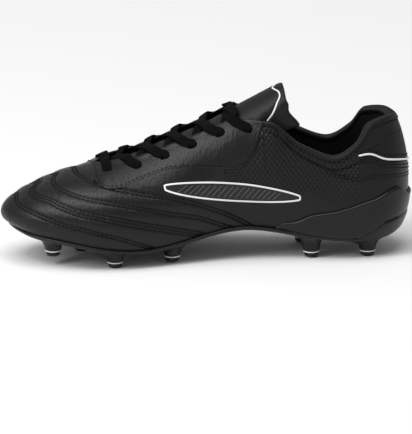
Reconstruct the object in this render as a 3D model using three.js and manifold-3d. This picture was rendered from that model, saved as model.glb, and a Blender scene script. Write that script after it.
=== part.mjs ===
// Soccer cleat, right foot, for firm ground.
// Millimetres, +Z up. X runs from the toe (-X) to the heel (+X); -Y is the medial (inner) side.
// The upper is one smooth surface: a section curve stands on each point of the feather line, which
// runs round the sole, and ends on the top line (the vamp ridge, the facing edge or the collar rim).
// Every panel of the upper is a piece of that surface, offset inwards or outwards along its normals.
import * as THREE from 'three';
import { mergeVertices } from 'three/addons/utils/BufferGeometryUtils.js';
import Module from 'manifold-3d';

const manifold = await Module();
manifold.setup();

// ---------------------------------------------------------------- driving dimensions
const LENGTH = 290;            // toe tip to heel counter
const WIDTH = 97.5;             // widest place, at the ball of the foot
const HEIGHT = 122.8;           // ground to the top of the tongue
const LEATHER = 2.0;           // thickness of the upper's panels
const LAYER_GAP = 0.45;        // clearance between stacked layers of the upper
const BUTT_GAP = 0.9;          // clearance between neighbouring panels, along the surface
const PAD = 3.8;               // collar padding
const PUFF = 0.9;              // toe puff and heel stiffener
const COUNTER = 1.9;           // wall of the moulded heel counter
const PLATE = 3.5;             // thickness of the outsole plate
const PLATE_RIM = 2.1;         // how far the plate stands out past the feather line
const SEAT_GAP = 0.3;          // clearance between parts that touch on the real shoe
const BOARD = 1.6;             // insole board
const SOCK = 3.6;              // sockliner foam
const SHANK = { thick: 1.0, front: -30, back: 95, halfWidth: 7 };
const LACE = { width: 7, thick: 1.3 };
const LACE_CLEARANCE = 0.45;   // room round the lace where it passes through the eyestays
const LACE_SLANT = 0.26;       // the lace crosses the facing edge this many stations before its hole
const LACE_TUCK = 9;           // how far each end of the lace is tucked in under the last hole
const HOLE = { setback: 9, pinch: 0.72 };   // distance from the facing edge; the lace narrows in it
const TONGUE = { thick: 4.0, reach: 62, split: 33, front: -63, tip: 54.5, sweep: 7 };
const TONGUE_GAP = 0.4;        // between the tongue and its folding top
const BADGE = { lift: 0.45, thick: 0.8, half: 6.5 };
const PIPING = { half: 0.75, above: 0.5, below: 1.2 };
const COLLAR_DEPTH = 34;       // height of the padded lining below the collar rim
const VAMP_SLOPE = 0.38;       // slope of the vamp's ridge, along the shoe
const PLATE_CURL = 1.6;        // the plate's underside turns up this much at its rim
const STUD_BITE = 1.2;         // a stud's foot ends this far below the top of the plate
// Moulded studs taper to a neck; each carries a ring and a harder tip with a flat tread.
const STUD = {
  baseRadius: 10.5, neckRadius: 5.6, ring: 1.1, ringRadius: 5.5, tip: 3.0, tipRadius: 5.2, flat: 4.0,
};

const SX = LENGTH / 290;
const SY = WIDTH / 97.5;
const SZ = HEIGHT / 122.8;

// ---------------------------------------------------------------- curves
// Cubic through knots, with the slopes of a natural spline.
function spline(xs, ys) {
  const n = xs.length;
  const step = xs.slice(1).map((x, i) => x - xs[i]);
  const rise = ys.slice(1).map((y, i) => (y - ys[i]) / step[i]);
  const slope = new Array(n).fill(0);
  for (let pass = 0; pass < 60; pass++) {
    slope[0] = (3 * rise[0] - slope[1]) / 2;
    for (let i = 1; i < n - 1; i++) {
      const side = slope[i - 1] / step[i - 1] + slope[i + 1] / step[i];
      const pull = 3 * (rise[i - 1] / step[i - 1] + rise[i] / step[i]);
      slope[i] = (pull - side) / (2 / step[i - 1] + 2 / step[i]);
    }
    slope[n - 1] = (3 * rise[n - 2] - slope[n - 2]) / 2;
  }
  return (x) => hermite(xs, ys, slope, x);
}

// Cubic through knots that never overshoots them.
function steadySpline(xs, ys) {
  const n = xs.length;
  const step = xs.slice(1).map((x, i) => x - xs[i]);
  const rise = ys.slice(1).map((y, i) => (y - ys[i]) / step[i]);
  const slope = xs.map((x, i) => {
    if (i === 0 || i === n - 1) return 0;
    if (rise[i - 1] * rise[i] <= 0) return 0;
    const a = 2 * step[i] + step[i - 1];
    const b = step[i] + 2 * step[i - 1];
    return (a + b) / (a / rise[i - 1] + b / rise[i]);
  });
  slope[0] = rise[0];
  slope[n - 1] = rise[n - 2];
  return (x) => hermite(xs, ys, slope, x);
}

function hermite(xs, ys, slope, x) {
  const clamped = Math.min(Math.max(x, xs[0]), xs[xs.length - 1]);
  let i = 0;
  while (i < xs.length - 2 && clamped > xs[i + 1]) i++;
  const h = xs[i + 1] - xs[i];
  const s = (clamped - xs[i]) / h;
  const start = (1 + 2 * s) * (1 - s) ** 2 * ys[i] + s * (1 - s) ** 2 * h * slope[i];
  return start + s * s * (3 - 2 * s) * ys[i + 1] + s * s * (s - 1) * h * slope[i + 1];
}

// ---------------------------------------------------------------- lengthwise lines of the shoe
// Lowest line of the sole plate: toe spring, ball, waist and heel.
const soleX = [-145, -128, -110, -75, -50, -20, 25, 60, 88, 130, 147];
const soleZ = [25.4, 20.2, 17.6, 11.8, 9.4, 12.8, 21.2, 16.4, 12.4, 13.6, 17.6];
const soleCurve = spline(soleX, soleZ);
const soleLine = (x) => SZ * soleCurve(x / SX);
const plateTop = (x) => soleLine(x) + PLATE;

// Centre height of the tongue's outer face, and the radius of its arch across the instep.
const instepX = [-84, -69, -48, -29, -10, 9, 31, 54.5];
const instepCurve = spline(instepX, [60.2, 66.8, 74.2, 82.2, 90, 99, 110.4, 122.8]);
const archCurve = steadySpline([-84, -48, -29, -10, 9, 31, 56], [29, 28, 27, 26, 24, 22, 21.5]);
const instep = (x) => SZ * instepCurve(x / SX);
const archRadius = (x) => SY * archCurve(x / SX);
const FACING_RISE = LEATHER + LACE.thick + 3 * SEAT_GAP;   // facing edge above the tongue

// ---------------------------------------------------------------- stations of the upper
// From the middle of the heel (0) to the toe tip (16). The base is on the feather line, for the medial
// and the lateral side. top: [x, y, z] on the top line; null z means on the facing, above the tongue.
// lean: angle of the section at the top; flare: its angle at the base; full: the two handle lengths.
const STATIONS = [
  { x: 136.6, medial: 0, lateral: 0, top: [134.4, 0, 98.2], lean: 67, flare: 57, full: [0.23, 0.38] },
  { x: 132.6, medial: 13.5, lateral: 13.5, top: [128.2, 13, 100.2], lean: 72, flare: 57, full: [0.24, 0.36] },
  { x: 123, medial: 23, lateral: 23, top: [115.5, 22.6, 97.6], lean: 82, flare: 55, full: [0.27, 0.32] },
  { x: 108, medial: 27.6, lateral: 28, top: [104.5, 28.2, 84], lean: 88, flare: 58, full: [0.3, 0.3] },
  { x: 89, medial: 28, lateral: 29.5, top: [88, 30.2, 75], lean: 94, flare: 62, full: [0.32, 0.3] },
  { x: 67, medial: 26, lateral: 30.5, top: [65, 28.5, 84], lean: 84, flare: 68, full: [0.33, 0.3] },
  { x: 45, medial: 24.8, lateral: 32.5, top: [43, 25, 101], lean: 62, flare: 74, full: [0.35, 0.32] },
  { x: 22, medial: 25.2, lateral: 36.5, top: [21, 18.2, null], lean: null, flare: 75, full: [0.36, 0.34] },
  { x: -3, medial: 28, lateral: 41, top: [-4, 15.3, null], lean: null, flare: 73, full: [0.38, 0.34] },
  { x: -28, medial: 33.8, lateral: 46, top: [-29, 14.4, null], lean: null, flare: 70, full: [0.4, 0.36] },
  { x: -50, medial: 39.2, lateral: 47, top: [-51, 12.8, null], lean: null, flare: 67, full: [0.43, 0.4] },
  { x: -71, medial: 42, lateral: 43.6, top: [-70.5, 8, 70.6], lean: 12, flare: 65, full: [0.45, 0.46] },
  { x: -90, medial: 40.6, lateral: 37.4, top: [-81, 0, 66.6], lean: 0, flare: 63, full: [0.45, 0.5] },
  { x: -107, medial: 35.4, lateral: 30, top: [-97, 0, 63], lean: 0, flare: 58, full: [0.46, 0.5] },
  { x: -122, medial: 27.8, lateral: 22, top: [-111, 0, 57.9], lean: 0, flare: 48, full: [0.48, 0.52] },
  { x: -133, medial: 16.5, lateral: 12, top: [-121.5, 0, 53.2], lean: 0, flare: 32, full: [0.53, 0.55] },
  { x: -138.6, medial: 3, lateral: -3, top: [-126, 0, 51.1], lean: 0, flare: 20, full: [0.57, 0.585] },
];
const LAST = STATIONS.length - 1;
const RIDGE = 12;               // first station whose top is on the ridge of the vamp
const LOOP = 2 * LAST;          // stations right round the shoe: 0..16 medial, 16..32 lateral

function facingAngle(x, y) {
  return Math.asin(y / (archRadius(x) + FACING_RISE));
}

// One value per station of the whole loop, padded so that the spline closes smoothly.
function loopCurve(read, make) {
  const pad = 6;
  const knots = [];
  const values = [];
  for (let i = -pad; i <= LOOP + pad; i++) {
    const wrapped = (i + LOOP) % LOOP;
    const lateral = wrapped > LAST;
    const station = STATIONS[lateral ? LOOP - wrapped : wrapped];
    knots.push(i);
    values.push(read(station, lateral));
  }
  return make(knots, values);
}

function topHeight(s) {
  if (s.top[2] !== null) return SZ * s.top[2];
  const x = SX * s.top[0];
  const reach = archRadius(x) + FACING_RISE;
  return instep(x) - archRadius(x) + reach * Math.cos(facingAngle(x, SY * s.top[1]));
}

function leanAngle(s) {
  if (s.lean !== null) return s.lean;
  return THREE.MathUtils.radToDeg(facingAngle(SX * s.top[0], SY * s.top[1]));
}

const sideSign = (lateral) => (lateral ? 1 : -1);
const baseX = loopCurve((s) => SX * s.x, spline);
const baseY = loopCurve((s, lat) => sideSign(lat) * SY * (lat ? s.lateral : s.medial), spline);
const topX = loopCurve((s) => SX * s.top[0], steadySpline);
const topY = loopCurve((s, lat) => sideSign(lat) * SY * s.top[1], steadySpline);
const topZ = loopCurve(topHeight, steadySpline);
const lean = loopCurve(leanAngle, spline);
const flare = loopCurve((s) => s.flare, spline);
const lowHandle = loopCurve((s) => s.full[0], spline);
const highHandle = loopCurve((s) => s.full[1], spline);

// Horizontal direction into the shoe, square to the feather line.
function inward(t) {
  const dx = baseX(t + 0.01) - baseX(t - 0.01);
  const dy = baseY(t + 0.01) - baseY(t - 0.01);
  return new THREE.Vector3(-dy, dx, 0).normalize().multiplyScalar(-1);
}

// Point of the upper at station t (0..LOOP round the shoe) and v (0 feather line, 1 top line).
function upper(t, v) {
  const base = new THREE.Vector3(baseX(t), baseY(t), plateTop(baseX(t)) + SEAT_GAP);
  const top = new THREE.Vector3(topX(t), topY(t), topZ(t));
  const chord = base.distanceTo(top);
  const into = inward(t);
  const low = THREE.MathUtils.degToRad(flare(t));
  const high = THREE.MathUtils.degToRad(lean(t));
  const onVamp = THREE.MathUtils.smoothstep(toeWards(t), RIDGE - 2, RIDGE);
  const ridgeSlope = VAMP_SLOPE * (SZ / SX) * onVamp;
  const p1 = base.clone().addScaledVector(into, -chord * lowHandle(t) * Math.cos(low));
  p1.z += chord * lowHandle(t) * Math.sin(low);
  const back = chord * highHandle(t);
  const p2 = top.clone().addScaledVector(into, -back * Math.cos(high));
  p2.z -= back * (Math.sin(high) + ridgeSlope * into.x * Math.cos(high));
  return new THREE.CubicBezierCurve3(base, p1, p2, top).getPoint(v);
}

// Station number counted towards the toe, whichever side t is on.
const toeWards = (t) => {
  const wrapped = ((t % LOOP) + LOOP) % LOOP;
  return wrapped > LAST ? LOOP - wrapped : wrapped;
};

function normal(t, v) {
  const e = 0.004;
  const along = upper(t + e, v).sub(upper(t - e, v));
  const up = upper(t, Math.min(v + e, 1)).sub(upper(t, Math.max(v - e, 0)));
  return up.cross(along).normalize();
}

function vAtHeight(t, z) {
  let low = 0;
  let high = 1;
  for (let i = 0; i < 30; i++) {
    const middle = (low + high) / 2;
    if (upper(t, middle).z < z) low = middle;
    else high = middle;
  }
  return (low + high) / 2;
}

// ---------------------------------------------------------------- solids
function grid(rows) {
  const points = rows.flat();
  const wide = rows[0].length;
  const faces = [];
  for (let i = 0; i + 1 < rows.length; i++) {
    for (let j = 0; j + 1 < wide; j++) {
      const a = i * wide + j;
      faces.push(a, a + 1, a + wide, a + 1, a + wide + 1, a + wide);
    }
  }
  return indexed(points, faces);
}

// Welds equal points and drops the triangles that collapse.
function indexed(points, faces) {
  let geometry = new THREE.BufferGeometry().setFromPoints(points);
  geometry.setIndex(faces);
  geometry = mergeVertices(geometry, 1e-3);
  const index = geometry.index.array;
  const kept = [];
  for (let k = 0; k < index.length; k += 3) {
    const [a, b, c] = [index[k], index[k + 1], index[k + 2]];
    if (a !== b && b !== c && c !== a) kept.push(a, b, c);
  }
  geometry.setIndex(kept);
  return geometry;
}

// A closed solid between two offsets of an open sheet; outer > inner.
function thicken(sheet, outer, inner) {
  sheet.computeVertexNormals();
  const place = sheet.attributes.position;
  const normals = sheet.attributes.normal;
  const count = place.count;
  const points = [];
  for (const offset of [outer, inner]) {
    for (let i = 0; i < count; i++) {
      const point = new THREE.Vector3().fromBufferAttribute(place, i);
      const out = new THREE.Vector3().fromBufferAttribute(normals, i);
      points.push(point.addScaledVector(out, offset));
    }
  }
  const index = sheet.index.array;
  const faces = [];
  const edges = new Map();
  for (let k = 0; k < index.length; k += 3) {
    const tri = [index[k], index[k + 1], index[k + 2]];
    faces.push(...tri, tri[2] + count, tri[1] + count, tri[0] + count);
    for (let j = 0; j < 3; j++) edges.set(`${tri[j]} ${tri[(j + 1) % 3]}`, [tri[j], tri[(j + 1) % 3]]);
  }
  for (const [a, b] of edges.values()) {
    if (edges.has(`${b} ${a}`)) continue;
    faces.push(b, a, a + count, b, a + count, b + count);
  }
  const solid = new THREE.BufferGeometry().setFromPoints(points);
  solid.setIndex(faces);
  return solid;
}

// A panel of the upper between stations t0 and t1 and between the borders low(t) and high(t).
function panel(t0, t1, low, high, outer, inner, across, cuts = []) {
  const known = [...EYE_STOPS, ...EYE_STOPS.map((t) => LOOP - t), ...cuts];
  const stops = [t0, t1, ...known.filter((t) => t > t0 && t < t1)];
  for (let t = Math.ceil(t0 * 2) / 2; t < t1; t += 0.5) stops.push(t);
  const sorted = [...new Set(stops)].sort((a, b) => a - b);
  const rows = sorted.map((t) => {
    const row = [];
    for (let j = 0; j <= across; j++) row.push(upper(t, THREE.MathUtils.lerp(low(t), high(t), j / across)));
    return row;
  });
  return thicken(grid(rows), outer, inner);
}

function toManifold(geometry) {
  let plain = geometry.clone();
  plain.deleteAttribute('normal');
  plain.deleteAttribute('uv');
  plain = mergeVertices(plain, 1e-3);
  const vertProperties = new Float32Array(plain.attributes.position.array);
  const triVerts = new Uint32Array(plain.index.array);
  return new manifold.Manifold(new manifold.Mesh({ numProp: 3, vertProperties, triVerts }));
}

function fromManifold(solid) {
  const mesh = solid.getMesh();
  const points = [];
  for (let i = 0; i < mesh.vertProperties.length; i += 3) {
    points.push(new THREE.Vector3().fromArray(mesh.vertProperties, i));
  }
  return indexed(points, Array.from(mesh.triVerts));
}

// The main body of a cut solid, without the offcuts.
const largest = (solid) => solid.decompose().reduce((a, b) => (a.volume() > b.volume() ? a : b));

const shoe = new THREE.Group();
function add(name, geometry, color, roughness, metalness = 0) {
  const material = new THREE.MeshStandardMaterial({ color, roughness, metalness });
  const mesh = new THREE.Mesh(geometry, material);
  mesh.name = name;
  shoe.add(mesh);
  return mesh;
}

const BLACK = 0x1c1c1d;
const DARK = 0x121213;
const SOLE = 0x222224;
const WHITE = 0xe9e9ea;

// ---------------------------------------------------------------- panels of the upper
const WAIST = 7.5;              // station where the vamp meets the quarter
const EYE_END = 11.8;           // front end of the eyestay
const EYE_BACK = 6.25;          // rear end of the eyestay, at the corner of the collar
const eyeSeamCurve = steadySpline([EYE_BACK, 6.6, 7.18, 7.63, 8.58, 9.3, 10.03, 10.6, 11.1, 11.5, EYE_END],
  [1, 0.7, 0.56, 0.6, 0.719, 0.78, 0.765, 0.69, 0.67, 0.74, 1]);
const eyeSeam = (t) => eyeSeamCurve(toeWards(t));
const EYE_STOPS = [EYE_BACK, 6.4, 6.6, 6.8, 7.2, 10.25, 10.75, 11.25, 11.4, 11.6, EYE_END];
const along = (mm, t) => mm / upper(t, 0).distanceTo(upper(t, 1));
const whole = () => 1;
const bottom = () => 0;

// Top border of the vamp and the quarters: the eyestay's seam, less the gap.
const underEyestay = (t) => {
  const k = toeWards(t);
  if (k > EYE_END || k < EYE_BACK) return 1;
  const seam = Math.min(...[-0.1, -0.05, 0, 0.05, 0.1].map((aside) => eyeSeamCurve(k + aside)));
  return seam - along(BUTT_GAP, t) * Math.min(1, 8 * (1 - seam));
};

function addVamp() {
  const t0 = WAIST;
  const t1 = LOOP - WAIST;
  add('vamp', panel(t0, t1, bottom, underEyestay, 0, -LEATHER, 10), BLACK, 0.5);
}

// Runs a panel maker on the medial side and, mirrored in t, on the lateral side.
function bothSides(name, make) {
  for (const [side, from] of [['medial', (t) => t], ['lateral', (t) => LOOP - t]]) {
    make(`${side}_${name}`, from);
  }
}
const ordered = (a, b) => [Math.min(a, b), Math.max(a, b)];

const HEEL_PANEL = 3;           // station where the heel panels begin
const QUARTER_GAP = 0.04;

function addQuarters() {
  bothSides('quarter', (name, from) => {
    const [t0, t1] = ordered(from(HEEL_PANEL + QUARTER_GAP), from(WAIST - QUARTER_GAP));
    add(name, panel(t0, t1, bottom, underEyestay, 0, -LEATHER, 9), BLACK, 0.55);
  });
}

const HOLES = [11.08, 10.05, 9.15, 8.35, 7.55, 6.75];   // stations of the six lace holes, toe first
function holePoint(t) {
  const v = 1 - along(HOLE.setback, t);
  return { point: upper(t, v), out: normal(t, v), v };
}

function addEyestays() {
  bothSides('eyestay', (name, from) => {
    const [t0, t1] = ordered(from(EYE_BACK + 0.06), from(EYE_END - 0.06));
    const cuts = HOLES.map(from);
    let solid = toManifold(panel(t0, t1, eyeSeam, whole, 0, -LEATHER, 4, cuts));
    solid = solid.subtract(laceRoom());
    add(name, fromManifold(largest(solid)), BLACK, 0.5);
  });
}

const pipeCurve = steadySpline([0, 1.5, HEEL_PANEL], [0.63, 0.68, 0.88]);
const pipeLine = (t) => pipeCurve(toeWards(t));

function addHeelPanels() {
  const t0 = -HEEL_PANEL;
  const t1 = HEEL_PANEL;
  const half = (t) => along(PIPING.half, t);
  const gap = (t) => along(PIPING.half + LAYER_GAP, t);
  add('heel_panel', panel(t0, t1, bottom, (t) => pipeLine(t) - gap(t), 0, -LEATHER, 5), BLACK, 0.6);
  add('heel_tab', panel(t0, t1, (t) => pipeLine(t) + gap(t), whole, 0, -LEATHER, 4), DARK, 0.8);
  const low = (t) => pipeLine(t) - half(t);
  const high = (t) => pipeLine(t) + half(t);
  const strip = panel(t0, t1, low, high, PIPING.above, -PIPING.below, 1);
  add('heel_piping', strip, WHITE, 0.5);
}

// Top edge of the moulded heel counter: height over x, highest beside the heel and lower behind it.
const counterEdge = steadySpline([42, 58, 72, 88, 100, 109, 118, 129, 134, 140],
  [26.6, 28.4, 34.1, 36.6, 39.9, 42.9, 45.3, 49.7, 51, 44]);
const COUNTER_END = 5.9;        // station of its front ends
const COUNTER_FOOT = 2.2;       // its lower edge, up the heel from the feather line

function addHeelCounter() {
  const high = (t) => vAtHeight(t, SZ * counterEdge(upper(t, 0.3).x / SX));
  const low = (t) => along(COUNTER_FOOT, t);
  const shell = panel(-COUNTER_END, COUNTER_END, low, high, COUNTER + SEAT_GAP, SEAT_GAP, 5);
  add('heel_counter', shell, SOLE, 0.3);
}

// ---------------------------------------------------------------- linings and stiffeners
const LINING = -(LEATHER + LAYER_GAP);

function addLinings() {
  const padLow = (t) => 1 - along(SZ * COLLAR_DEPTH, t);
  const padTop = (t) => 1 - along(1.0, t);
  const pad = panel(-EYE_BACK, EYE_BACK, padLow, padTop, LINING, LINING - PAD, 4);
  add('collar_lining', pad, DARK, 0.9);
  const stiffTop = (t) => vAtHeight(t, SZ * 52);
  const stiffHigh = (t) => Math.min(stiffTop(t), padLow(t) - 0.02);
  const stiff = panel(-4.5, 4.5, () => 0.02, stiffHigh, LINING, LINING - PUFF, 4);
  add('heel_stiffener', stiff, 0x8a8578, 0.8);
  const puff = panel(13, LOOP - 13, () => 0.03, whole, LINING, LINING - PUFF, 8);
  add('toe_puff', puff, 0x8a8578, 0.8);
}

// ---------------------------------------------------------------- sole
// Point of the feather line at station t, moved out by grow.
function rimPoint(t, grow) {
  return new THREE.Vector3(baseX(t), baseY(t), 0).addScaledVector(inward(t), -grow);
}

// Y of the sole's outline at x, on either side, for a line `grow` outside the feather line.
function breadth(x, lateral, grow) {
  let near = lateral ? LOOP : 0;
  let far = LAST;
  for (let i = 0; i < 40; i++) {
    const middle = (near + far) / 2;
    if (rimPoint(middle, grow).x > x) near = middle;
    else far = middle;
  }
  return rimPoint((near + far) / 2, grow).y;
}

// A closed slab that follows the sole from x0 to x1, between the heights low and high.
function slab(x0, x1, steps, across, low, high, outline) {
  const ring = (i) => {
    const x = THREE.MathUtils.lerp(x0, x1, (1 - Math.cos(Math.PI * i / steps)) / 2);
    return { x, left: outline(x, false), right: outline(x, true) };
  };
  const lows = [];
  const highs = [];
  for (let i = 0; i <= steps; i++) {
    const { x, left, right } = ring(i);
    const place = (w, height) => new THREE.Vector3(x, THREE.MathUtils.lerp(left, right, w), height(x, w));
    const ws = Array.from({ length: across + 1 }, (_, j) => j / across);
    lows.push(ws.map((w) => place(w, low)));
    highs.push(ws.map((w) => place(w, high)));
  }
  return closeBetween(lows, highs);
}

function closeBetween(lows, highs) {
  const rows = lows.length;
  const wide = lows[0].length;
  const points = [...lows.flat(), ...highs.flat()];
  const at = (layer, i, j) => layer * rows * wide + i * wide + j;
  const faces = [];
  const quad = (a, b, c, d) => faces.push(a, b, c, a, c, d);
  for (let i = 0; i + 1 < rows; i++) {
    for (let j = 0; j + 1 < wide; j++) {
      quad(at(0, i, j), at(0, i, j + 1), at(0, i + 1, j + 1), at(0, i + 1, j));
      quad(at(1, i, j), at(1, i + 1, j), at(1, i + 1, j + 1), at(1, i, j + 1));
    }
    quad(at(0, i, 0), at(0, i + 1, 0), at(1, i + 1, 0), at(1, i, 0));
    quad(at(0, i + 1, wide - 1), at(0, i, wide - 1), at(1, i, wide - 1), at(1, i + 1, wide - 1));
  }
  for (let j = 0; j + 1 < wide; j++) {
    quad(at(0, 0, j + 1), at(0, 0, j), at(1, 0, j), at(1, 0, j + 1));
    quad(at(0, rows - 1, j), at(0, rows - 1, j + 1), at(1, rows - 1, j + 1), at(1, rows - 1, j));
  }
  return indexed(points, faces);
}

// name, x, y and the height of the tread face above the ground
const STUDS = [
  ['toe_medial', -110, -21, 6.6], ['toe_lateral', -112, 16, 6.8],
  ['ball_medial', -67, -31, 0], ['ball_lateral', -71, 33, 0],
  ['waist_medial', -26, -22.5, 1], ['waist_lateral', -30, 36, 1],
  ['centre_front', -88, 2, 3], ['centre_rear', -48, 4, 0.5],
  ['heel_front_medial', 73, -17.5, 0.4], ['heel_front_lateral', 70, 20, 0.4],
  ['heel_rear_medial', 113, -17, 0], ['heel_rear_lateral', 110, 17, 0],
];

// Lathes turn about Y; this stands one up about Z.
function standing(geometry, x, y, z) {
  return geometry.rotateX(Math.PI / 2).translate(x, y, z);
}

function studSolids([name, x, y, ground]) {
  const cx = SX * x;
  const cy = SY * y;
  const tread = SZ * ground;
  const ringBase = tread + STUD.tip + SEAT_GAP;
  const neck = ringBase + STUD.ring + SEAT_GAP;
  const height = plateTop(cx) - neck;
  const radius = (s) => STUD.neckRadius + (STUD.baseRadius - STUD.neckRadius) * (0.25 * s + 0.75 * s ** 3);
  const steps = 5;
  const profile = [[0, 0]];
  for (let i = 0; i <= steps; i++) profile.push([radius(i / steps), height * i / steps]);
  profile.push([0, height]);
  const { flat, tipRadius, tip } = STUD;
  const tipProfile = [[0, 0], [flat, 0], [tipRadius - 0.2, 0.8], [tipRadius, tip], [0, tip]];
  const turn = (outline) => new THREE.LatheGeometry(outline.map(([r, z]) => new THREE.Vector2(r, z)), 14);
  const ringProfile = [[0, 0], [STUD.ringRadius, 0], [STUD.ringRadius, STUD.ring], [0, STUD.ring]];
  return {
    name,
    base: standing(turn(profile), cx, cy, neck),
    ring: standing(turn(ringProfile), cx, cy, ringBase),
    tip: standing(turn(tipProfile), cx, cy, tread),
  };
}

function addSole() {
  const front = rimPoint(LAST, PLATE_RIM).x;
  const back = rimPoint(0, PLATE_RIM).x;
  const outline = (x, lateral) => breadth(x, lateral, PLATE_RIM);
  const curl = (w) => PLATE_CURL * Math.abs(2 * w - 1) ** 4;
  let plate = toManifold(slab(front, back, 36, 6,
    (x, w) => soleLine(x) + curl(w), (x) => plateTop(x), outline));
  const studs = STUDS.map(studSolids);
  const under = toManifold(slab(front, back, 36, 1, () => 0, (x) => plateTop(x) - STUD_BITE, outline));
  for (const stud of studs) plate = plate.add(toManifold(stud.base).intersect(under));
  const pocket = { grow: SEAT_GAP, deep: SHANK.thick + 2 * SEAT_GAP };
  plate = plate.subtract(toManifold(shankBar(pocket.grow, -pocket.deep, 1)));
  add('outsole_plate', fromManifold(plate), SOLE, 0.3);
  for (const stud of studs) {
    add(`stud_ring_${stud.name}`, stud.ring, WHITE, 0.35);
    add(`stud_tip_${stud.name}`, stud.tip, DARK, 0.4);
  }
}

// Flat bar down the waist, between two heights measured from the top of the plate.
function shankBar(grow, low, high) {
  const wide = SHANK.halfWidth + grow;
  const outline = (x, lateral) => (lateral ? wide : -wide);
  return slab(SX * SHANK.front - grow, SX * SHANK.back + grow, 16, 1,
    (x) => plateTop(x) + low, (x) => plateTop(x) + high, outline);
}

function addInsoles() {
  add('shank', shankBar(0, -SHANK.thick - SEAT_GAP, -SEAT_GAP), 0x9a9c9f, 0.35, 0.9);
  const inset = LEATHER + LAYER_GAP + PUFF + SEAT_GAP + 1.2;
  const flat = (name, margin, low, thick, color) => {
    const outline = (x, lateral) => breadth(x, lateral, -margin);
    const front = rimPoint(LAST, -margin).x;
    const back = rimPoint(0, -margin).x;
    add(name, slab(front, back, 30, 4, low, (x) => low(x) + thick, outline), color, 0.9);
  };
  const boardLow = (x) => plateTop(x) + 2 * SEAT_GAP;
  flat('insole_board', inset, boardLow, BOARD, 0xb9a98a);
  flat('sockliner', inset + 0.3, (x) => boardLow(x) + BOARD + SEAT_GAP, SOCK, DARK);
}

// ---------------------------------------------------------------- tongue
// Arch of the tongue at centreline x and angle a from the top of the arch.
function tonguePoint(x, a, sink) {
  const r = archRadius(x);
  return new THREE.Vector3(x, (r - sink) * Math.sin(a), instep(x) - r + (r - sink) * Math.cos(a));
}

function tonguePiece(x0, x1, steps, inclined) {
  const across = 10;
  const reach = THREE.MathUtils.degToRad(TONGUE.reach);
  const rows = (sink) => Array.from({ length: steps + 1 }, (_, i) => {
    const x = THREE.MathUtils.lerp(x0, x1, i / steps);
    return Array.from({ length: across + 1 }, (_, j) => {
      const a = reach * (2 * j / across - 1);
      const point = tonguePoint(x, a, sink);
      point.x += inclined * (1 - Math.cos(a)) * (i / steps);
      return point;
    });
  });
  return closeBetween(rows(TONGUE.thick), rows(0));
}

function addTongue() {
  add('tongue', tonguePiece(SX * TONGUE.front, SX * TONGUE.split - TONGUE_GAP, 12, 0), BLACK, 0.6);
  add('tongue_top', tonguePiece(SX * TONGUE.split, SX * TONGUE.tip, 4, TONGUE.sweep), BLACK, 0.6);
}

// ---------------------------------------------------------------- badges on the quarters
// A slim leaf that slants up towards the toe, between two stations.
const LEAF = { back: 5.1, front: 9.3, backHeight: 47, frontHeight: 58, overrun: 0.1 };
function addBadges() {
  const { back, front, overrun } = LEAF;
  bothSides('badge', (name, from) => {
    const [t0, t1] = ordered(from(back), from(front));
    const { backHeight, frontHeight } = LEAF;
    const middle = (t) => SZ * THREE.MathUtils.mapLinear(toeWards(t), back, front, backHeight, frontHeight);
    const half = (t) => {
      const share = THREE.MathUtils.mapLinear(toeWards(t), back - overrun, front + overrun, 0, 1);
      return SZ * BADGE.half * Math.sin(Math.PI * share) ** 0.6;
    };
    const low = (t) => vAtHeight(t, middle(t) - half(t));
    const high = (t) => vAtHeight(t, middle(t) + half(t));
    add(name, panel(t0, t1, low, high, BADGE.lift + BADGE.thick, BADGE.lift, 2), WHITE, 0.5);
  });
}

// ---------------------------------------------------------------- lace
const OVER = SEAT_GAP + LACE.thick / 2;

// How high the middle of the flat ribbon lies over the tongue's arch at x, so that its edges clear it.
const onArch = (x) => OVER + SEAT_GAP + LACE.width ** 2 / (8 * archRadius(x));

// Moves a point of the lace's path out to where the ribbon clears the tongue.
function clearOfTongue(point) {
  const r = archRadius(point.x);
  const axis = instep(point.x) - r;
  const away = Math.hypot(point.y, point.z - axis);
  const scale = Math.max(1, (r + onArch(point.x)) / away);
  return point.set(point.x, scale * point.y, axis + scale * (point.z - axis));
}

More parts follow.
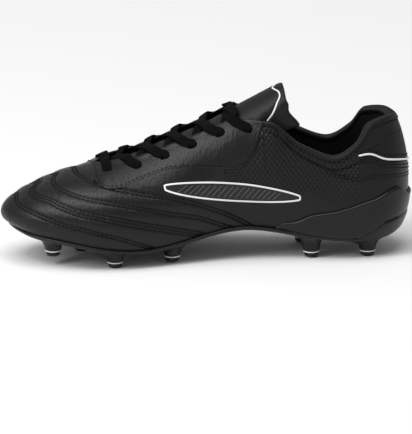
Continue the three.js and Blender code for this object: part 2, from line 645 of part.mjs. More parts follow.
// Path of half the lace, from the middle of the bar to its end tucked under the last eyestay.
function lacePath(startLateral) {
  const stops = [];
  let lateral = startLateral;
  const at = (k, isLateral) => (isLateral ? LOOP - HOLES[k] : HOLES[k]);
  const toeward = (isLateral) => (isLateral ? -LACE_SLANT : LACE_SLANT);
  const spot = (t, v, lift, width = 1) => {
    const out = normal(t, v);
    stops.push({ point: clearOfTongue(upper(t, v).addScaledVector(out, lift)), out, width });
  };
  const overTongue = (x, y, lift) => {
    const a = Math.asin(y / archRadius(x));
    const out = new THREE.Vector3(-0.4 * Math.cos(a), Math.sin(a), Math.cos(a)).normalize();
    stops.push({ point: tonguePoint(x, a, -lift), out, width: 1 });
  };
  const under = -(LEATHER + OVER);
  for (let k = 0; k < HOLES.length; k++) {
    const t = at(k, lateral);
    const { v } = holePoint(t);
    if (k === 0) {
      const x = upper(t, 1).x;
      overTongue(x, 0, FACING_RISE + OVER);
    }
    const slant = k === 0 ? 0 : toeward(lateral);
    spot(t + slant, 1, OVER + 0.5);
    spot(t + slant / 2, (1 + v) / 2, OVER + 0.15);
    spot(t, v + along(1.6, t), OVER, HOLE.pinch);
    spot(t, v, -LEATHER / 2, HOLE.pinch);
    if (k === HOLES.length - 1) {
      spot(t, v - along(1.8, t), under - 0.1, HOLE.pinch);
      spot(t, v - along(LACE_TUCK, t), under - 0.3);
      break;
    }
    const next = at(k + 1, !lateral);
    spot(t, v + along(1.8, t), under - 0.1, HOLE.pinch);
    const back = toeward(lateral) / 2;
    spot(t - back / 2, (1 + v) / 2, under - 0.1);
    spot(t - back, 1, under);
    const from = upper(t - back, 1);
    const to = upper(next + toeward(!lateral), 1);
    const high = startLateral === (k % 2 === 0);
    const stack = high ? LACE.thick + 2 * SEAT_GAP : 0;
    for (const share of [0.25, 0.5, 0.75]) {
      const bump = share === 0.5 ? stack : 0.5 * stack;
      const clear = share > 0.6 ? 2 : 0;
      const x = from.x + (to.x - from.x) * share;
      overTongue(x, from.y + (to.y - from.y) * share, onArch(x) + bump + clear);
    }
    lateral = !lateral;
  }
  return stops;
}

// Sections of the flat ribbon along its path; `grow` fattens them, for the clearance that parts leave it.
function laceRings(grow) {
  const left = lacePath(false);
  const right = lacePath(true).slice(1);
  const stops = [...left.reverse(), ...right];
  const curve = new THREE.CatmullRomCurve3(stops.map((s) => s.point), false, 'centripetal');
  return stops.map(({ point, out, width }, i) => {
    const ahead = curve.getTangent(i / (stops.length - 1));
    const half = width * LACE.width / 2 + grow;
    const side = new THREE.Vector3().crossVectors(ahead, out).normalize();
    const top = new THREE.Vector3().crossVectors(side, ahead).normalize();
    return [[-1, -1], [1, -1], [1, 1], [-1, 1]].map(([a, b]) => point.clone()
      .addScaledVector(side, a * half)
      .addScaledVector(top, b * (LACE.thick / 2 + grow)));
  });
}

function laceRibbon() {
  const rings = laceRings(0);
  const faces = [];
  const count = rings.length - 1;
  for (let i = 0; i < count; i++) {
    for (let j = 0; j < 4; j++) {
      const a = 4 * i + j;
      const b = 4 * i + (j + 1) % 4;
      faces.push(a, b + 4, b, a, a + 4, b + 4);
    }
  }
  const e = 4 * count;
  faces.push(0, 2, 3, 0, 1, 2, e, e + 2, e + 1, e, e + 3, e + 2);
  const solid = new THREE.BufferGeometry().setFromPoints(rings.flat());
  solid.setIndex(faces);
  return solid;
}

// The room that the lace needs, as a chain of convex links.
function laceRoom() {
  const rings = laceRings(LACE_CLEARANCE);
  const links = rings.slice(1).map((ring, i) => {
    const corners = [...rings[i], ...ring].map((p) => p.toArray());
    return manifold.Manifold.hull(corners);
  });
  return manifold.Manifold.union(links);
}

addSole();
addInsoles();
addVamp();
addQuarters();
addEyestays();
addHeelPanels();
addHeelCounter();
addLinings();
addTongue();
addBadges();
add('lace', laceRibbon(), DARK, 0.85);

// The origin is under the middle of the shoe, on the ground.
const bounds = new THREE.Box3().setFromObject(shoe);
shoe.position.set(-(bounds.min.x + bounds.max.x) / 2, -(bounds.min.y + bounds.max.y) / 2, -bounds.min.z);

export default shoe;
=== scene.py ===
"""Looks for a soccer cleat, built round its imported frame.

Lengths are millimetres in the shoe's own frame until a mesh is made, and metres after that.
X runs from the toe (-X) to the heel (+X); -Y is the medial side.
"""
import math

import bpy
import numpy as np
from mathutils import Matrix, Vector, kdtree


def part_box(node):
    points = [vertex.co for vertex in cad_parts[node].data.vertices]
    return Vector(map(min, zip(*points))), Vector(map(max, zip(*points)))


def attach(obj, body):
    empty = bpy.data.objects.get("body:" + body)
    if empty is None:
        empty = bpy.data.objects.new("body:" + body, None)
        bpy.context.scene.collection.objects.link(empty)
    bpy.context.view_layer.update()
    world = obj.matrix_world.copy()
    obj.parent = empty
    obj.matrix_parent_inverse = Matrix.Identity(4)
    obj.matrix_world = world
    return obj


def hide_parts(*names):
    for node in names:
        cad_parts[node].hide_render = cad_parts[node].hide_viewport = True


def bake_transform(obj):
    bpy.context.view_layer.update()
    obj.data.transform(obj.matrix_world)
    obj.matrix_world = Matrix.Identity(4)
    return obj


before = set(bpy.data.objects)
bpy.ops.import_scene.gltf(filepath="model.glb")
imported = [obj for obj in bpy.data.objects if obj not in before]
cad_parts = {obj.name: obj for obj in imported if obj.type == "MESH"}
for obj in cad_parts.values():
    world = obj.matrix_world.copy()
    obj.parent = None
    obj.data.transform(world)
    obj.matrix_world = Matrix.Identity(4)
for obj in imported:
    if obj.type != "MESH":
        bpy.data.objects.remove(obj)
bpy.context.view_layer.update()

MM = 0.001
SHANK_CENTRE = 32.5             # X of the middle of the shank in the shoe's own frame
shank_low, shank_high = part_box("shank")
shank_middle = (shank_low + shank_high) / 2 / MM
SHIFT = np.array([shank_middle.x - SHANK_CENTRE, shank_middle.y, 0.0])

# ---------------------------------------------------------------- sizes shared with the frame
LEATHER = 2.0                   # thickness of the upper's panels
PLATE = 3.5                     # thickness of the outsole plate
PLATE_RIM = 2.1                 # the plate stands out this far past the feather line
SEAT = 0.3                      # clearance under the upper
COUNTER = 1.9                   # wall of the heel counter
LACE_WIDTH = 7.0
LACE_THICK = 1.3
FACING_RISE = LEATHER + LACE_THICK + 3 * SEAT
HOLE_SETBACK = 9.0              # lace hole to the facing edge
LOOP = 32                       # stations round the shoe: 0 heel, 16 toe tip, 16..32 lateral
LAST = 16
WAIST = 7.5                     # station where the vamp meets the quarter
EYE_BACK = 6.25
EYE_END = 11.8
HEEL_PANEL = 3.0
COUNTER_END = 5.9
LACE_SLANT = 0.26               # the lace crosses the facing edge this many stations before its hole
HOLES = (11.08, 10.05, 9.15, 8.35, 7.55, 6.75)


# ---------------------------------------------------------------- curves
def hermite(xs, ys, slopes):
    """A cubic through the knots, with the slopes given."""
    xs, ys, slopes = (np.asarray(a, float) for a in (xs, ys, slopes))

    def value(x):
        x = np.clip(np.asarray(x, float), xs[0], xs[-1])
        i = np.clip(np.searchsorted(xs, x) - 1, 0, len(xs) - 2)
        h = xs[i + 1] - xs[i]
        s = (x - xs[i]) / h
        start = (1 + 2 * s) * (1 - s) ** 2 * ys[i] + s * (1 - s) ** 2 * h * slopes[i]
        return start + s * s * (3 - 2 * s) * ys[i + 1] + s * s * (s - 1) * h * slopes[i + 1]

    return value


def flowing(xs, ys):
    """A natural spline."""
    n = len(xs)
    step = np.diff(np.asarray(xs, float))
    rise = np.diff(np.asarray(ys, float)) / step
    left = np.zeros((n, n))
    right = np.zeros(n)
    left[0, :2] = 2, 1
    left[-1, -2:] = 1, 2
    right[0], right[-1] = 3 * rise[0], 3 * rise[-1]
    for i in range(1, n - 1):
        left[i, i - 1:i + 2] = 1 / step[i - 1], 2 / step[i - 1] + 2 / step[i], 1 / step[i]
        right[i] = 3 * (rise[i - 1] / step[i - 1] + rise[i] / step[i])
    return hermite(xs, ys, np.linalg.solve(left, right))


def steady(xs, ys):
    """A cubic that never overshoots its knots."""
    step = np.diff(np.asarray(xs, float))
    rise = np.diff(np.asarray(ys, float)) / step
    slopes = np.zeros(len(xs))
    slopes[0], slopes[-1] = rise[0], rise[-1]
    for i in range(1, len(xs) - 1):
        if rise[i - 1] * rise[i] > 0:
            a = 2 * step[i] + step[i - 1]
            b = step[i] + 2 * step[i - 1]
            slopes[i] = (a + b) / (a / rise[i - 1] + b / rise[i])
    return hermite(xs, ys, slopes)


def smooth_step(x, low, high):
    s = np.clip((x - low) / (high - low), 0, 1)
    return s * s * (3 - 2 * s)


def unit(vectors):
    return vectors / np.maximum(np.linalg.norm(vectors, axis=-1, keepdims=True), 1e-9)


# ---------------------------------------------------------------- the shoe's lengthwise lines
sole_line = flowing([-145, -128, -110, -75, -50, -20, 25, 60, 88, 130, 147],
                    [25.4, 20.2, 17.6, 11.8, 9.4, 12.8, 21.2, 16.4, 12.4, 13.6, 17.6])
instep = flowing([-84, -69, -48, -29, -10, 9, 31, 54.5], [60.2, 66.8, 74.2, 82.2, 90, 99, 110.4, 122.8])
arch_radius = steady([-84, -48, -29, -10, 9, 31, 56], [29, 28, 27, 26, 24, 22, 21.5])

# x, medial and lateral half widths, top point (no z: on the facing), lean, flare, handle lengths
STATIONS = (
    (136.6, 0, 0, (134.4, 0, 98.2), 67, 57, (0.23, 0.38)),
    (132.6, 13.5, 13.5, (128.2, 13, 100.2), 72, 57, (0.24, 0.36)),
    (123, 23, 23, (115.5, 22.6, 97.6), 82, 55, (0.27, 0.32)),
    (108, 27.6, 28, (104.5, 28.2, 84), 88, 58, (0.3, 0.3)),
    (89, 28, 29.5, (88, 30.2, 75), 94, 62, (0.32, 0.3)),
    (67, 26, 30.5, (65, 28.5, 84), 84, 68, (0.33, 0.3)),
    (45, 24.8, 32.5, (43, 25, 101), 62, 74, (0.35, 0.32)),
    (22, 25.2, 36.5, (21, 18.2, None), None, 75, (0.36, 0.34)),
    (-3, 28, 41, (-4, 15.3, None), None, 73, (0.38, 0.34)),
    (-28, 33.8, 46, (-29, 14.4, None), None, 70, (0.4, 0.36)),
    (-50, 39.2, 47, (-51, 12.8, None), None, 67, (0.43, 0.4)),
    (-71, 42, 43.6, (-70.5, 8, 70.6), 12, 65, (0.45, 0.46)),
    (-90, 40.6, 37.4, (-81, 0, 66.6), 0, 63, (0.45, 0.5)),
    (-107, 35.4, 30, (-97, 0, 63), 0, 58, (0.46, 0.5)),
    (-122, 27.8, 22, (-111, 0, 57.9), 0, 48, (0.48, 0.52)),
    (-133, 16.5, 12, (-121.5, 0, 53.2), 0, 32, (0.53, 0.55)),
    (-138.6, 3, -3, (-126, 0, 51.1), 0, 20, (0.57, 0.585)),
)


def round_the_shoe(read, make):
    """One value per station of the loop, with six more at each end so that it closes smoothly."""
    knots = range(-6, LOOP + 7)
    values = []
    for i in knots:
        k = i % LOOP
        lateral = k > LAST
        values.append(read(STATIONS[LOOP - k if lateral else k], lateral))
    return make(list(knots), values)


def top_height(station):
    x, y, z = station[3]
    if z is not None:
        return z
    reach = arch_radius(x) + FACING_RISE
    return float(instep(x) - arch_radius(x) + math.sqrt(reach * reach - y * y))


def lean_angle(station):
    x, y, _ = station[3]
    if station[4] is not None:
        return station[4]
    return math.degrees(math.asin(y / float(arch_radius(x) + FACING_RISE)))


base_x = round_the_shoe(lambda s, lateral: s[0], flowing)
base_y = round_the_shoe(lambda s, lateral: s[2] if lateral else -s[1], flowing)
top_x = round_the_shoe(lambda s, lateral: s[3][0], steady)
top_y = round_the_shoe(lambda s, lateral: s[3][1] if lateral else -s[3][1], steady)
top_z = round_the_shoe(lambda s, lateral: top_height(s), steady)
lean = round_the_shoe(lambda s, lateral: lean_angle(s), flowing)
flare = round_the_shoe(lambda s, lateral: s[5], flowing)
low_handle = round_the_shoe(lambda s, lateral: s[6][0], flowing)
high_handle = round_the_shoe(lambda s, lateral: s[6][1], flowing)


def toe_wards(t):
    k = np.mod(t, LOOP)
    return np.where(k > LAST, LOOP - k, k)


def inward(t):
    """Level direction into the shoe, square to the feather line."""
    dx = base_x(t + 0.01) - base_x(t - 0.01)
    dy = base_y(t + 0.01) - base_y(t - 0.01)
    return unit(np.stack([dy, -dx, np.zeros_like(dx)], -1))


def upper(t, v):
    """Points of the upper at station t, from the feather line (v = 0) to the top line (v = 1)."""
    t, v = np.broadcast_arrays(np.asarray(t, float), np.asarray(v, float))
    x = base_x(t)
    base = np.stack([x, base_y(t), sole_line(x) + PLATE + SEAT], -1)
    top = np.stack([top_x(t), top_y(t), top_z(t)], -1)
    chord = np.linalg.norm(top - base, axis=-1)
    into = inward(t)
    low, high = np.radians(flare(t)), np.radians(lean(t))
    ridge_slope = 0.38 * smooth_step(toe_wards(t), 10, 12)
    first = base - into * (chord * low_handle(t) * np.cos(low))[..., None]
    first[..., 2] += chord * low_handle(t) * np.sin(low)
    back = chord * high_handle(t)
    second = top - into * (back * np.cos(high))[..., None]
    second[..., 2] -= back * (np.sin(high) + ridge_slope * into[..., 0] * np.cos(high))
    w = v[..., None]
    return (1 - w) ** 3 * base + 3 * w * (1 - w) ** 2 * first + 3 * w * w * (1 - w) * second + w ** 3 * top


def outward(t, v):
    """Outward normals of the upper."""
    t, v = np.broadcast_arrays(np.asarray(t, float), np.asarray(v, float))
    e = 0.004
    along = upper(t + e, v) - upper(t - e, v)
    up = upper(t, np.minimum(v + e, 1)) - upper(t, np.maximum(v - e, 0))
    return unit(np.cross(up, along))


def skin_point(t, v):
    """Points of the upper with their outward directions."""
    return upper(t, v), outward(t, v)


def share(mm, t):
    """A length up the upper, as a share of v."""
    return mm / np.linalg.norm(upper(t, 1) - upper(t, 0), axis=-1)


def v_at_height(t, z):
    low, high = np.zeros_like(t), np.ones_like(t)
    for _ in range(24):
        middle = (low + high) / 2
        below = upper(t, middle)[..., 2] < z
        low, high = np.where(below, middle, low), np.where(below, high, middle)
    return (low + high) / 2


# ---------------------------------------------------------------- meshes
def mesh_piece(name, points, faces, uv=None):
    """A new piece from points in millimetres; uv holds one pair of metres per point."""
    mesh = bpy.data.meshes.new(name)
    mesh.from_pydata(((np.asarray(points) + SHIFT) * MM).tolist(), [], faces)
    if uv is not None:
        layer = mesh.uv_layers.new(name="surface")
        corner = np.zeros(len(mesh.loops), np.int32)
        mesh.loops.foreach_get("vertex_index", corner)
        layer.data.foreach_set("uv", np.asarray(uv)[corner].astype(np.float32).ravel())
    mesh.shade_smooth()
    mesh.validate()
    piece = bpy.data.objects.new(name, mesh)
    bpy.context.scene.collection.objects.link(piece)
    return piece


def closed_sheet(name, outer, inner):
    """A closed solid between two grids of points; the outer one is wound to face out."""
    rows, wide = outer.shape[:2]
    count = rows * wide
    index = np.arange(count).reshape(rows, wide)
    a, b, c, d = index[:-1, :-1], index[:-1, 1:], index[1:, 1:], index[1:, :-1]
    front = np.stack([a, b, c, d], -1).reshape(-1, 4)
    rim = np.concatenate([index[:-1, 0], index[-1, :-1], index[:0:-1, -1], index[0, :0:-1]])
    after = np.roll(rim, -1)
    wall = np.stack([rim, after, after + count, rim + count], -1)
    faces = np.concatenate([front, front[:, ::-1] + count, wall])
    along = np.linalg.norm(np.diff(outer[:, wide // 2], axis=0), axis=-1)
    across = np.linalg.norm(np.diff(outer[rows // 2], axis=0), axis=-1)
    u = np.concatenate([[0], np.cumsum(along)])
    v = np.concatenate([[0], np.cumsum(across)])
    pairs = np.stack(np.meshgrid(u, v, indexing="ij"), -1).reshape(-1, 2) * MM
    points = np.concatenate([outer.reshape(-1, 3), inner.reshape(-1, 3)])
    sheet = mesh_piece(name, points, faces.tolist(), np.concatenate([pairs, pairs]))
    only(sheet)
    bpy.ops.object.shade_smooth_by_angle(angle=math.radians(60))
    return sheet


def mark_groove_shade(sheet, depth):
    """Keeps the depth of a sheet's grooves (0 to 1) on its points, for its finish to darken as painted shade
    in the grooves.
    """
    values = np.concatenate([depth.ravel(), 0 * depth.ravel()])
    marks = sheet.data.attributes.new("groove_shade", "FLOAT", "POINT")
    marks.data.foreach_set("value", np.clip(values, 0, 1).astype(np.float32))


def tube(name, rings):
    """A closed tube through rings of points, shape (n, sides, 3), each turning the same way."""
    count, sides = rings.shape[:2]
    index = np.arange(count * sides).reshape(count, sides)
    a, b = index[:-1], np.roll(index, -1, 1)[:-1]
    c, d = np.roll(index, -1, 1)[1:], index[1:]
    faces = np.stack([a, b, c, d], -1).reshape(-1, 4).tolist()
    faces += [index[0, ::-1].tolist(), index[-1].tolist()]
    run = np.concatenate([[0], np.cumsum(np.linalg.norm(np.diff(rings.mean(1), axis=0), axis=-1))])
    girth = np.linalg.norm(rings[0] - np.roll(rings[0], 1, 0), axis=-1).cumsum()
    pairs = np.stack(np.meshgrid(run, girth, indexing="ij"), -1).reshape(-1, 2) * MM
    piece = mesh_piece(name, rings.reshape(-1, 3), faces, pairs)
    face_out(piece)
    return piece


def only(piece):
    """Makes the piece the one that is selected and active."""
    bpy.ops.object.select_all(action="DESELECT")
    piece.select_set(True)
    bpy.context.view_layer.objects.active = piece


def join(pieces):
    """Joins pieces into the first of them."""
    bpy.ops.object.select_all(action="DESELECT")
    for piece in pieces:
        piece.select_set(True)
    bpy.context.view_layer.objects.active = pieces[0]
    bpy.ops.object.join()
    return pieces[0]


def face_out(piece):
    only(piece)
    bpy.ops.object.mode_set(mode="EDIT")
    bpy.ops.mesh.select_all(action="SELECT")
    bpy.ops.mesh.normals_make_consistent(inside=False)
    bpy.ops.object.mode_set(mode="OBJECT")


def settle(piece):
    """Puts the piece's place into its mesh."""
    only(piece)
    bpy.ops.object.transform_apply(location=True, rotation=True, scale=True)


def modify(piece, kind, **settings):
    """Adds a modifier and applies it."""
    only(piece)
    modifier = piece.modifiers.new(kind.title(), kind)
    for key, value in settings.items():
        setattr(modifier, key, value)
    bpy.ops.object.modifier_apply(modifier=modifier.name)


def samples(low, high, length, pitch, edge=(0.35, 0.8)):
    """Even steps from low to high, with closer ones near both ends for a rounded edge."""
    inner = np.linspace(0, 1, max(3, int(round(length / pitch)) + 1))
    extra = [mm / length for mm in edge]
    stops = np.unique(np.concatenate([inner, extra, [1 - e for e in extra]]))
    kept = [stops[0]]
    for stop in stops[1:]:
        if (stop - kept[-1]) * length > 0.2:
            kept.append(stop)
    kept[-1] = 1.0
    return low + (high - low) * np.array(kept)


def edge_drop(distance, radius):
    """How far a rounded edge falls, at this distance in from the rim."""
    inside = np.clip(radius - distance, 0, radius)
    return radius - np.sqrt(radius ** 2 - inside ** 2)


def skin(name, t0, t1, low, high, outer, inner, pitch=0.8, relief=None, edge=0.7, round_ends=False,
         round_top=True):
    """A panel of the upper from station t0 to t1 and from low(t) to high(t), between two offsets."""
    middle = (t0 + t1) / 2
    spine = upper(np.linspace(t0, t1, 60), (low(middle) + high(middle)) / 2)
    length = np.linalg.norm(np.diff(spine, axis=0), axis=-1).sum()
    ts = samples(t0, t1, length, pitch)
    height = np.linalg.norm(upper(ts, high(ts)) - upper(ts, low(ts)), axis=-1)
    s = samples(0.0, 1.0, float(np.median(height)), pitch)
    t = ts[:, None] + 0 * s
    v = low(ts)[:, None] + (high(ts) - low(ts))[:, None] * s
    place, out = skin_point(t, v)
    from_ends = np.minimum(ts - t0, t1 - ts)[:, None] * length / (t1 - t0)
    from_borders = (np.minimum(s, 1 - s) if round_top else s)[None, :] * height[:, None]
    inset = np.minimum(from_ends, from_borders) if round_ends else from_borders + 0 * from_ends
    rise = outer - edge_drop(inset, edge)
    depth = 0 * rise
    if relief is not None:
        shape = relief(t, v, place)
        rise = rise + shape
        depth = depth - shape
    sheet = closed_sheet(name, place + out * rise[..., None], place + out * inner)
    # the groove depth goes on the points so the finish can paint shade into the grooves
    mark_groove_shade(sheet, depth)
    return sheet


def smooth_line(knots, per_span=16):
    """Catmull-Rom points through the knots."""
    p = np.asarray(knots, float)
    p = np.concatenate([[2 * p[0] - p[1]], p, [2 * p[-1] - p[-2]]])
    s = np.linspace(0, 1, per_span, endpoint=False)[:, None]
    spans = []
    for a, b, c, d in zip(p, p[1:], p[2:], p[3:]):
        spans.append(0.5 * (2 * b + (c - a) * s + (2 * a - 5 * b + 4 * c - d) * s ** 2
                            + (3 * b - a - 3 * c + d) * s ** 3))
    return np.concatenate([*spans, p[-2][None]])


def even(points, pitch):
    """The same line, resampled at an even pitch."""
    run = np.concatenate([[0], np.cumsum(np.linalg.norm(np.diff(points[:, :3], axis=0), axis=-1))])
    count = max(2, int(round(run[-1] / pitch)) + 1)
    at = np.linspace(0, run[-1], count)
    return np.stack([np.interp(at, run, points[:, k]) for k in range(points.shape[1])], -1)


def mirror_side(t, lateral):
    return LOOP - t if lateral else t


def surface_line(knots, lateral=False, pitch=0.8):
    """Points and stations along a line drawn on the upper through (t, v) knots."""
    tv = smooth_line(knots)
    t, v = mirror_side(tv[:, 0], lateral), tv[:, 1]
    return even(np.concatenate([upper(t, v), t[:, None], v[:, None]], 1), pitch)


def distance_to(points, line):
    """Distance from each point to the nearest of the line's points."""
    tree = kdtree.KDTree(len(line))
    for i, point in enumerate(line):
        tree.insert(point, i)
    tree.balance()
    flat = points.reshape(-1, 3)
    return np.array([tree.find(p)[2] for p in flat]).reshape(points.shape[:-1])


# ---------------------------------------------------------------- stitches
def stitch_shape():
    """One stitch 1 long and 1 thick, as numbers of points and faces."""
    bpy.ops.object.select_all(action="DESELECT")
    bpy.ops.mesh.primitive_uv_sphere_add(segments=6, ring_count=4, radius=0.5, rotation=(0, math.pi / 2, 0))
    bead = bpy.context.object
    settle(bead)
    points = np.array([v.co for v in bead.data.vertices])
    points[:, 2] = np.where(points[:, 2] < 0, points[:, 2] * 0.6, points[:, 2])
    faces = [list(f.vertices) for f in bead.data.polygons]
    bpy.data.objects.remove(bead)
    return points, faces


STITCH = stitch_shape()


def sew(name, lines, lift, pitch=3.2, length=2.3, thick=0.85, body="shoe"):
    """Rows of stitches along lines given as points with outward directions."""
    shape, shape_faces = STITCH
    points, faces = [], []
    for line, normals in lines:
        path = even(np.concatenate([line, normals], 1), pitch)
        for here, after in zip(path, path[1:]):
            ahead = unit(after[:3] - here[:3])
            out = unit(here[3:6] + after[3:6])
            side = unit(np.cross(out, ahead))
            frame3 = np.stack([ahead * length, side * thick, out * thick])
            faces += [[k + len(points) * len(shape) for k in f] for f in shape_faces]
            points.append((here[:3] + after[:3]) / 2 + out * lift + shape @ frame3)
    piece = mesh_piece(name, np.concatenate(points), faces)
    dress(piece, THREAD, body)
    return piece


def on_upper(line):
    """A line from surface_line with its outward directions, for sewing."""
    return line[:, :3], outward(line[:, 3], line[:, 4])


# ---------------------------------------------------------------- finishes
class Signal:
    """A shader socket that works in sums: each operator adds one Math node."""

    def __init__(self, tree, socket):
        self.tree = tree
        self.socket = socket

    def math(self, operation, *values):
        node = self.tree.nodes.new("ShaderNodeMath")
        node.operation = operation
        for socket, value in zip(node.inputs, values):
            plug(self.tree, socket, value)
        return Signal(self.tree, node.outputs[0])

    def __add__(self, other):
        return self.math("ADD", self, other)

    def __sub__(self, other):
        return self.math("SUBTRACT", self, other)

    def __rsub__(self, other):
        return self.math("SUBTRACT", other, self)

    def __mul__(self, other):
        return self.math("MULTIPLY", self, other)

    def __gt__(self, other):
        return self.math("GREATER_THAN", self, other)

    def __pow__(self, other):
        return self.math("POWER", self, other)

    def __abs__(self):
        return self.math("ABSOLUTE", self)

    def sine(self):
        return self.math("SINE", self)

    __radd__ = __add__
    __rmul__ = __mul__


def plug(tree, socket, value):
    if isinstance(value, Signal):
        tree.links.new(value.socket, socket)
    else:
        socket.default_value = value


class Finish:
    """A procedural material: a shader with its constants, and the nodes that vary it."""

    def __init__(self, name, color, roughness, **constants):
        self.material = bpy.data.materials.new(name)
        self.material.use_nodes = True
        self.tree = self.material.node_tree
        self.shader = self.tree.nodes["Principled BSDF"]
        self.set("Base Color", (*color, 1))
        self.set("Roughness", roughness)
        for key, value in constants.items():
            self.set(key.replace("_", " "), value)

    def set(self, socket, value):
        plug(self.tree, self.shader.inputs[socket], value)

    def node(self, kind, settings=None, output=0, **inputs):
        """Any node: its settings first, then the values or links of its sockets."""
        node = self.tree.nodes.new(kind)
        for key, value in (settings or {}).items():
            if key == "stops":
                for element, (at, grey) in zip(node.color_ramp.elements, value):
                    element.position = at
                    element.color = (grey, grey, grey, 1)
            else:
                setattr(node, key, value)
        for key, value in inputs.items():
            plug(self.tree, node.inputs[key.replace("_", " ")], value)
        return Signal(self.tree, node.outputs[output])

    def place(self, scale=(1, 1, 1)):
        """Object coordinates, stretched by scale."""
        where = self.node("ShaderNodeTexCoord", output="Object")
        return self.node("ShaderNodeMapping", Vector=where, Scale=scale)

    def noise(self, size, detail=2.0, stretch=(1, 1, 1)):
        """Soft noise whose lumps are this many millimetres across."""
        where = self.place(stretch)
        return self.node("ShaderNodeTexNoise", Vector=where, Scale=1 / (size * MM), Detail=detail)

    def cells(self, size, feature="F1"):
        where = self.place()
        scale = 1 / (size * MM)
        return self.node("ShaderNodeTexVoronoi", {"feature": feature}, "Distance", Vector=where, Scale=scale)

    def along_surface(self):
        """The piece's own length and width coordinates, in millimetres."""
        where = self.node("ShaderNodeUVMap", {"uv_map": "surface"})
        parts = self.node("ShaderNodeSeparateXYZ", output="X", Vector=where)
        other = Signal(self.tree, parts.socket.node.outputs["Y"])
        return parts * 1000, other * 1000

    def shades(self, mask, dark, light):
        """Base colour from dark to light as the mask goes from 0 to 1."""
        mix = self.node("ShaderNodeMix", {"data_type": "RGBA"}, output=2)
        plug(self.tree, mix.socket.node.inputs[0], mask)
        plug(self.tree, mix.socket.node.inputs[6], (*dark, 1))
        plug(self.tree, mix.socket.node.inputs[7], (*light, 1))
        self.set("Base Color", mix)

    def bump(self, height, depth, strength=1.0):
        """Relief of this many millimetres."""
        bump = self.node("ShaderNodeBump", Height=height, Distance=depth * MM, Strength=strength)
        self.set("Normal", bump)


def grey(value, warmth=0.0):
    return (value * (1 + warmth), value, value * (1 - warmth))


def leather_finish(name, shade, roughness, wrinkle):
    finish = Finish(name, grey(shade), roughness, Specular_IOR_Level=0.24)
    grain = finish.cells(0.9)
    pores = finish.noise(0.5, 3.0)
    creases = finish.noise(7.0, 3.0, (1.6, 0.5, 0.7))
    folds = abs(creases - 0.5) ** 0.5
    finish.bump(grain * 0.10 + pores * 0.12 + folds * wrinkle, 1.0)
    worn = finish.noise(18.0, 4.0)
    # painted shade: the groove depth kept on the points darkens the base colour in the grooves, and also
    # makes them rougher
    groove_shade = finish.node("ShaderNodeAttribute", {"attribute_name": "groove_shade"}, output="Fac")
    finish.shades(worn * 0.7 + pores * 0.3 - groove_shade * 0.9, grey(shade * 0.6), grey(shade * 1.35))
    finish.set("Roughness", worn * 0.12 + grain * 0.08 + groove_shade * 0.4 + (roughness - 0.1))
    return finish.material


def knit_finish(name, shade, pitch):
    finish = Finish(name, grey(shade), 0.85, Specular_IOR_Level=0.15, Sheen_Weight=0.03)
    u, v = finish.along_surface()
    turn = 2 * math.pi / pitch
    loops = (u * turn).sine() * (v * turn + (u * turn).sine() * 0.7).sine()
    fuzz = finish.noise(0.7, 3.0)
    finish.bump(loops * 0.22 + fuzz * 0.2, 1.0)
    finish.shades(loops * 0.4 + fuzz * 0.5, grey(shade * 0.5), grey(shade * 1.8))
    return finish.material


def woven_finish(name, shade, rib):
    """Flat woven tape: slanted ribs either side of the middle."""
    finish = Finish(name, grey(shade), 0.8, Specular_IOR_Level=0.06)
    u, v = finish.along_surface()
    turn = 2 * math.pi / rib
    chevron = (u * turn + abs(v - LACE_WIDTH / 2) * turn * 0.8).sine()
    strands = (v * (turn * 1.6)).sine()
    weave = chevron * 0.35 + strands * 0.2
    finish.bump(weave, 0.7)
    finish.shades(weave + 0.5, grey(shade * 0.35), grey(shade * 2.0))
    return finish.material


def moulded_finish(name, shade, roughness, texture=0.05, coat=0.15):
    gloss = {"Specular_IOR_Level": 0.27, "Coat_Weight": coat, "Coat_Roughness": 0.2}
    finish = Finish(name, grey(shade), roughness, **gloss)
    mottle = finish.noise(0.8, 3.0)
    flow = finish.noise(25.0, 2.0)
    finish.bump(mottle, texture)
    finish.shades(flow, grey(shade * 0.8), grey(shade * 1.2))
    finish.set("Roughness", flow * 0.15 + mottle * 0.08 + (roughness - 0.1))
    return finish.material


def thread_finish(name, shade):
    finish = Finish(name, grey(shade), 0.6, Specular_IOR_Level=0.15)
    twist = (finish.noise(0.4, 2.0) * 6.0).sine()
    finish.bump(twist, 0.08)
    finish.shades(twist * 0.5 + 0.5, grey(shade * 0.7), grey(shade * 1.4))
    return finish.material


def board_finish(name):
    finish = Finish(name, (0.5, 0.42, 0.3), 0.9)
    fibres = finish.noise(1.2, 4.0, (1, 3, 1))
    finish.bump(fibres, 0.15)
    finish.shades(fibres, (0.42, 0.34, 0.23), (0.58, 0.5, 0.38))
    return finish.material


def steel_finish(name):
    finish = Finish(name, grey(0.55), 0.35, Metallic=1.0)
    brushed = finish.noise(0.5, 2.0, (0.05, 1, 1))
    finish.bump(brushed, 0.02)
    finish.set("Roughness", brushed * 0.2 + 0.25)
    return finish.material


VAMP = leather_finish("vamp_leather", 0.007, 0.31, 0.35)
QUARTER = leather_finish("quarter_leather", 0.006, 0.33, 0.1)
TONGUE_SKIN = leather_finish("tongue_leather", 0.006, 0.45, 0.1)
TAB_SKIN = leather_finish("heel_tab_suede", 0.005, 0.55, 0.05)
LINING = knit_finish("knitted_lining", 0.003, 1.5)
SOCK_CLOTH = knit_finish("sock_cloth", 0.005, 1.2)
LACE_WEAVE = woven_finish("lace_weave", 0.003, 1.5)
SOLE = moulded_finish("sole_plastic", 0.004, 0.33, 0.05, 0.03)
COUNTER_SKIN = moulded_finish("counter_plastic", 0.004, 0.33, 0.05, 0.03)
TIP = moulded_finish("stud_tip_plastic", 0.005, 0.32, 0.05, 0.03)
RING = moulded_finish("stud_ring_plastic", 0.72, 0.35, 0.02, 0.0)
WHITE = moulded_finish("white_trim", 0.75, 0.5, 0.03, 0.0)
THREAD = thread_finish("black_thread", 0.002)
BADGE_SKIN = moulded_finish("badge_film", 0.014, 0.4, 0.03, 0.0)
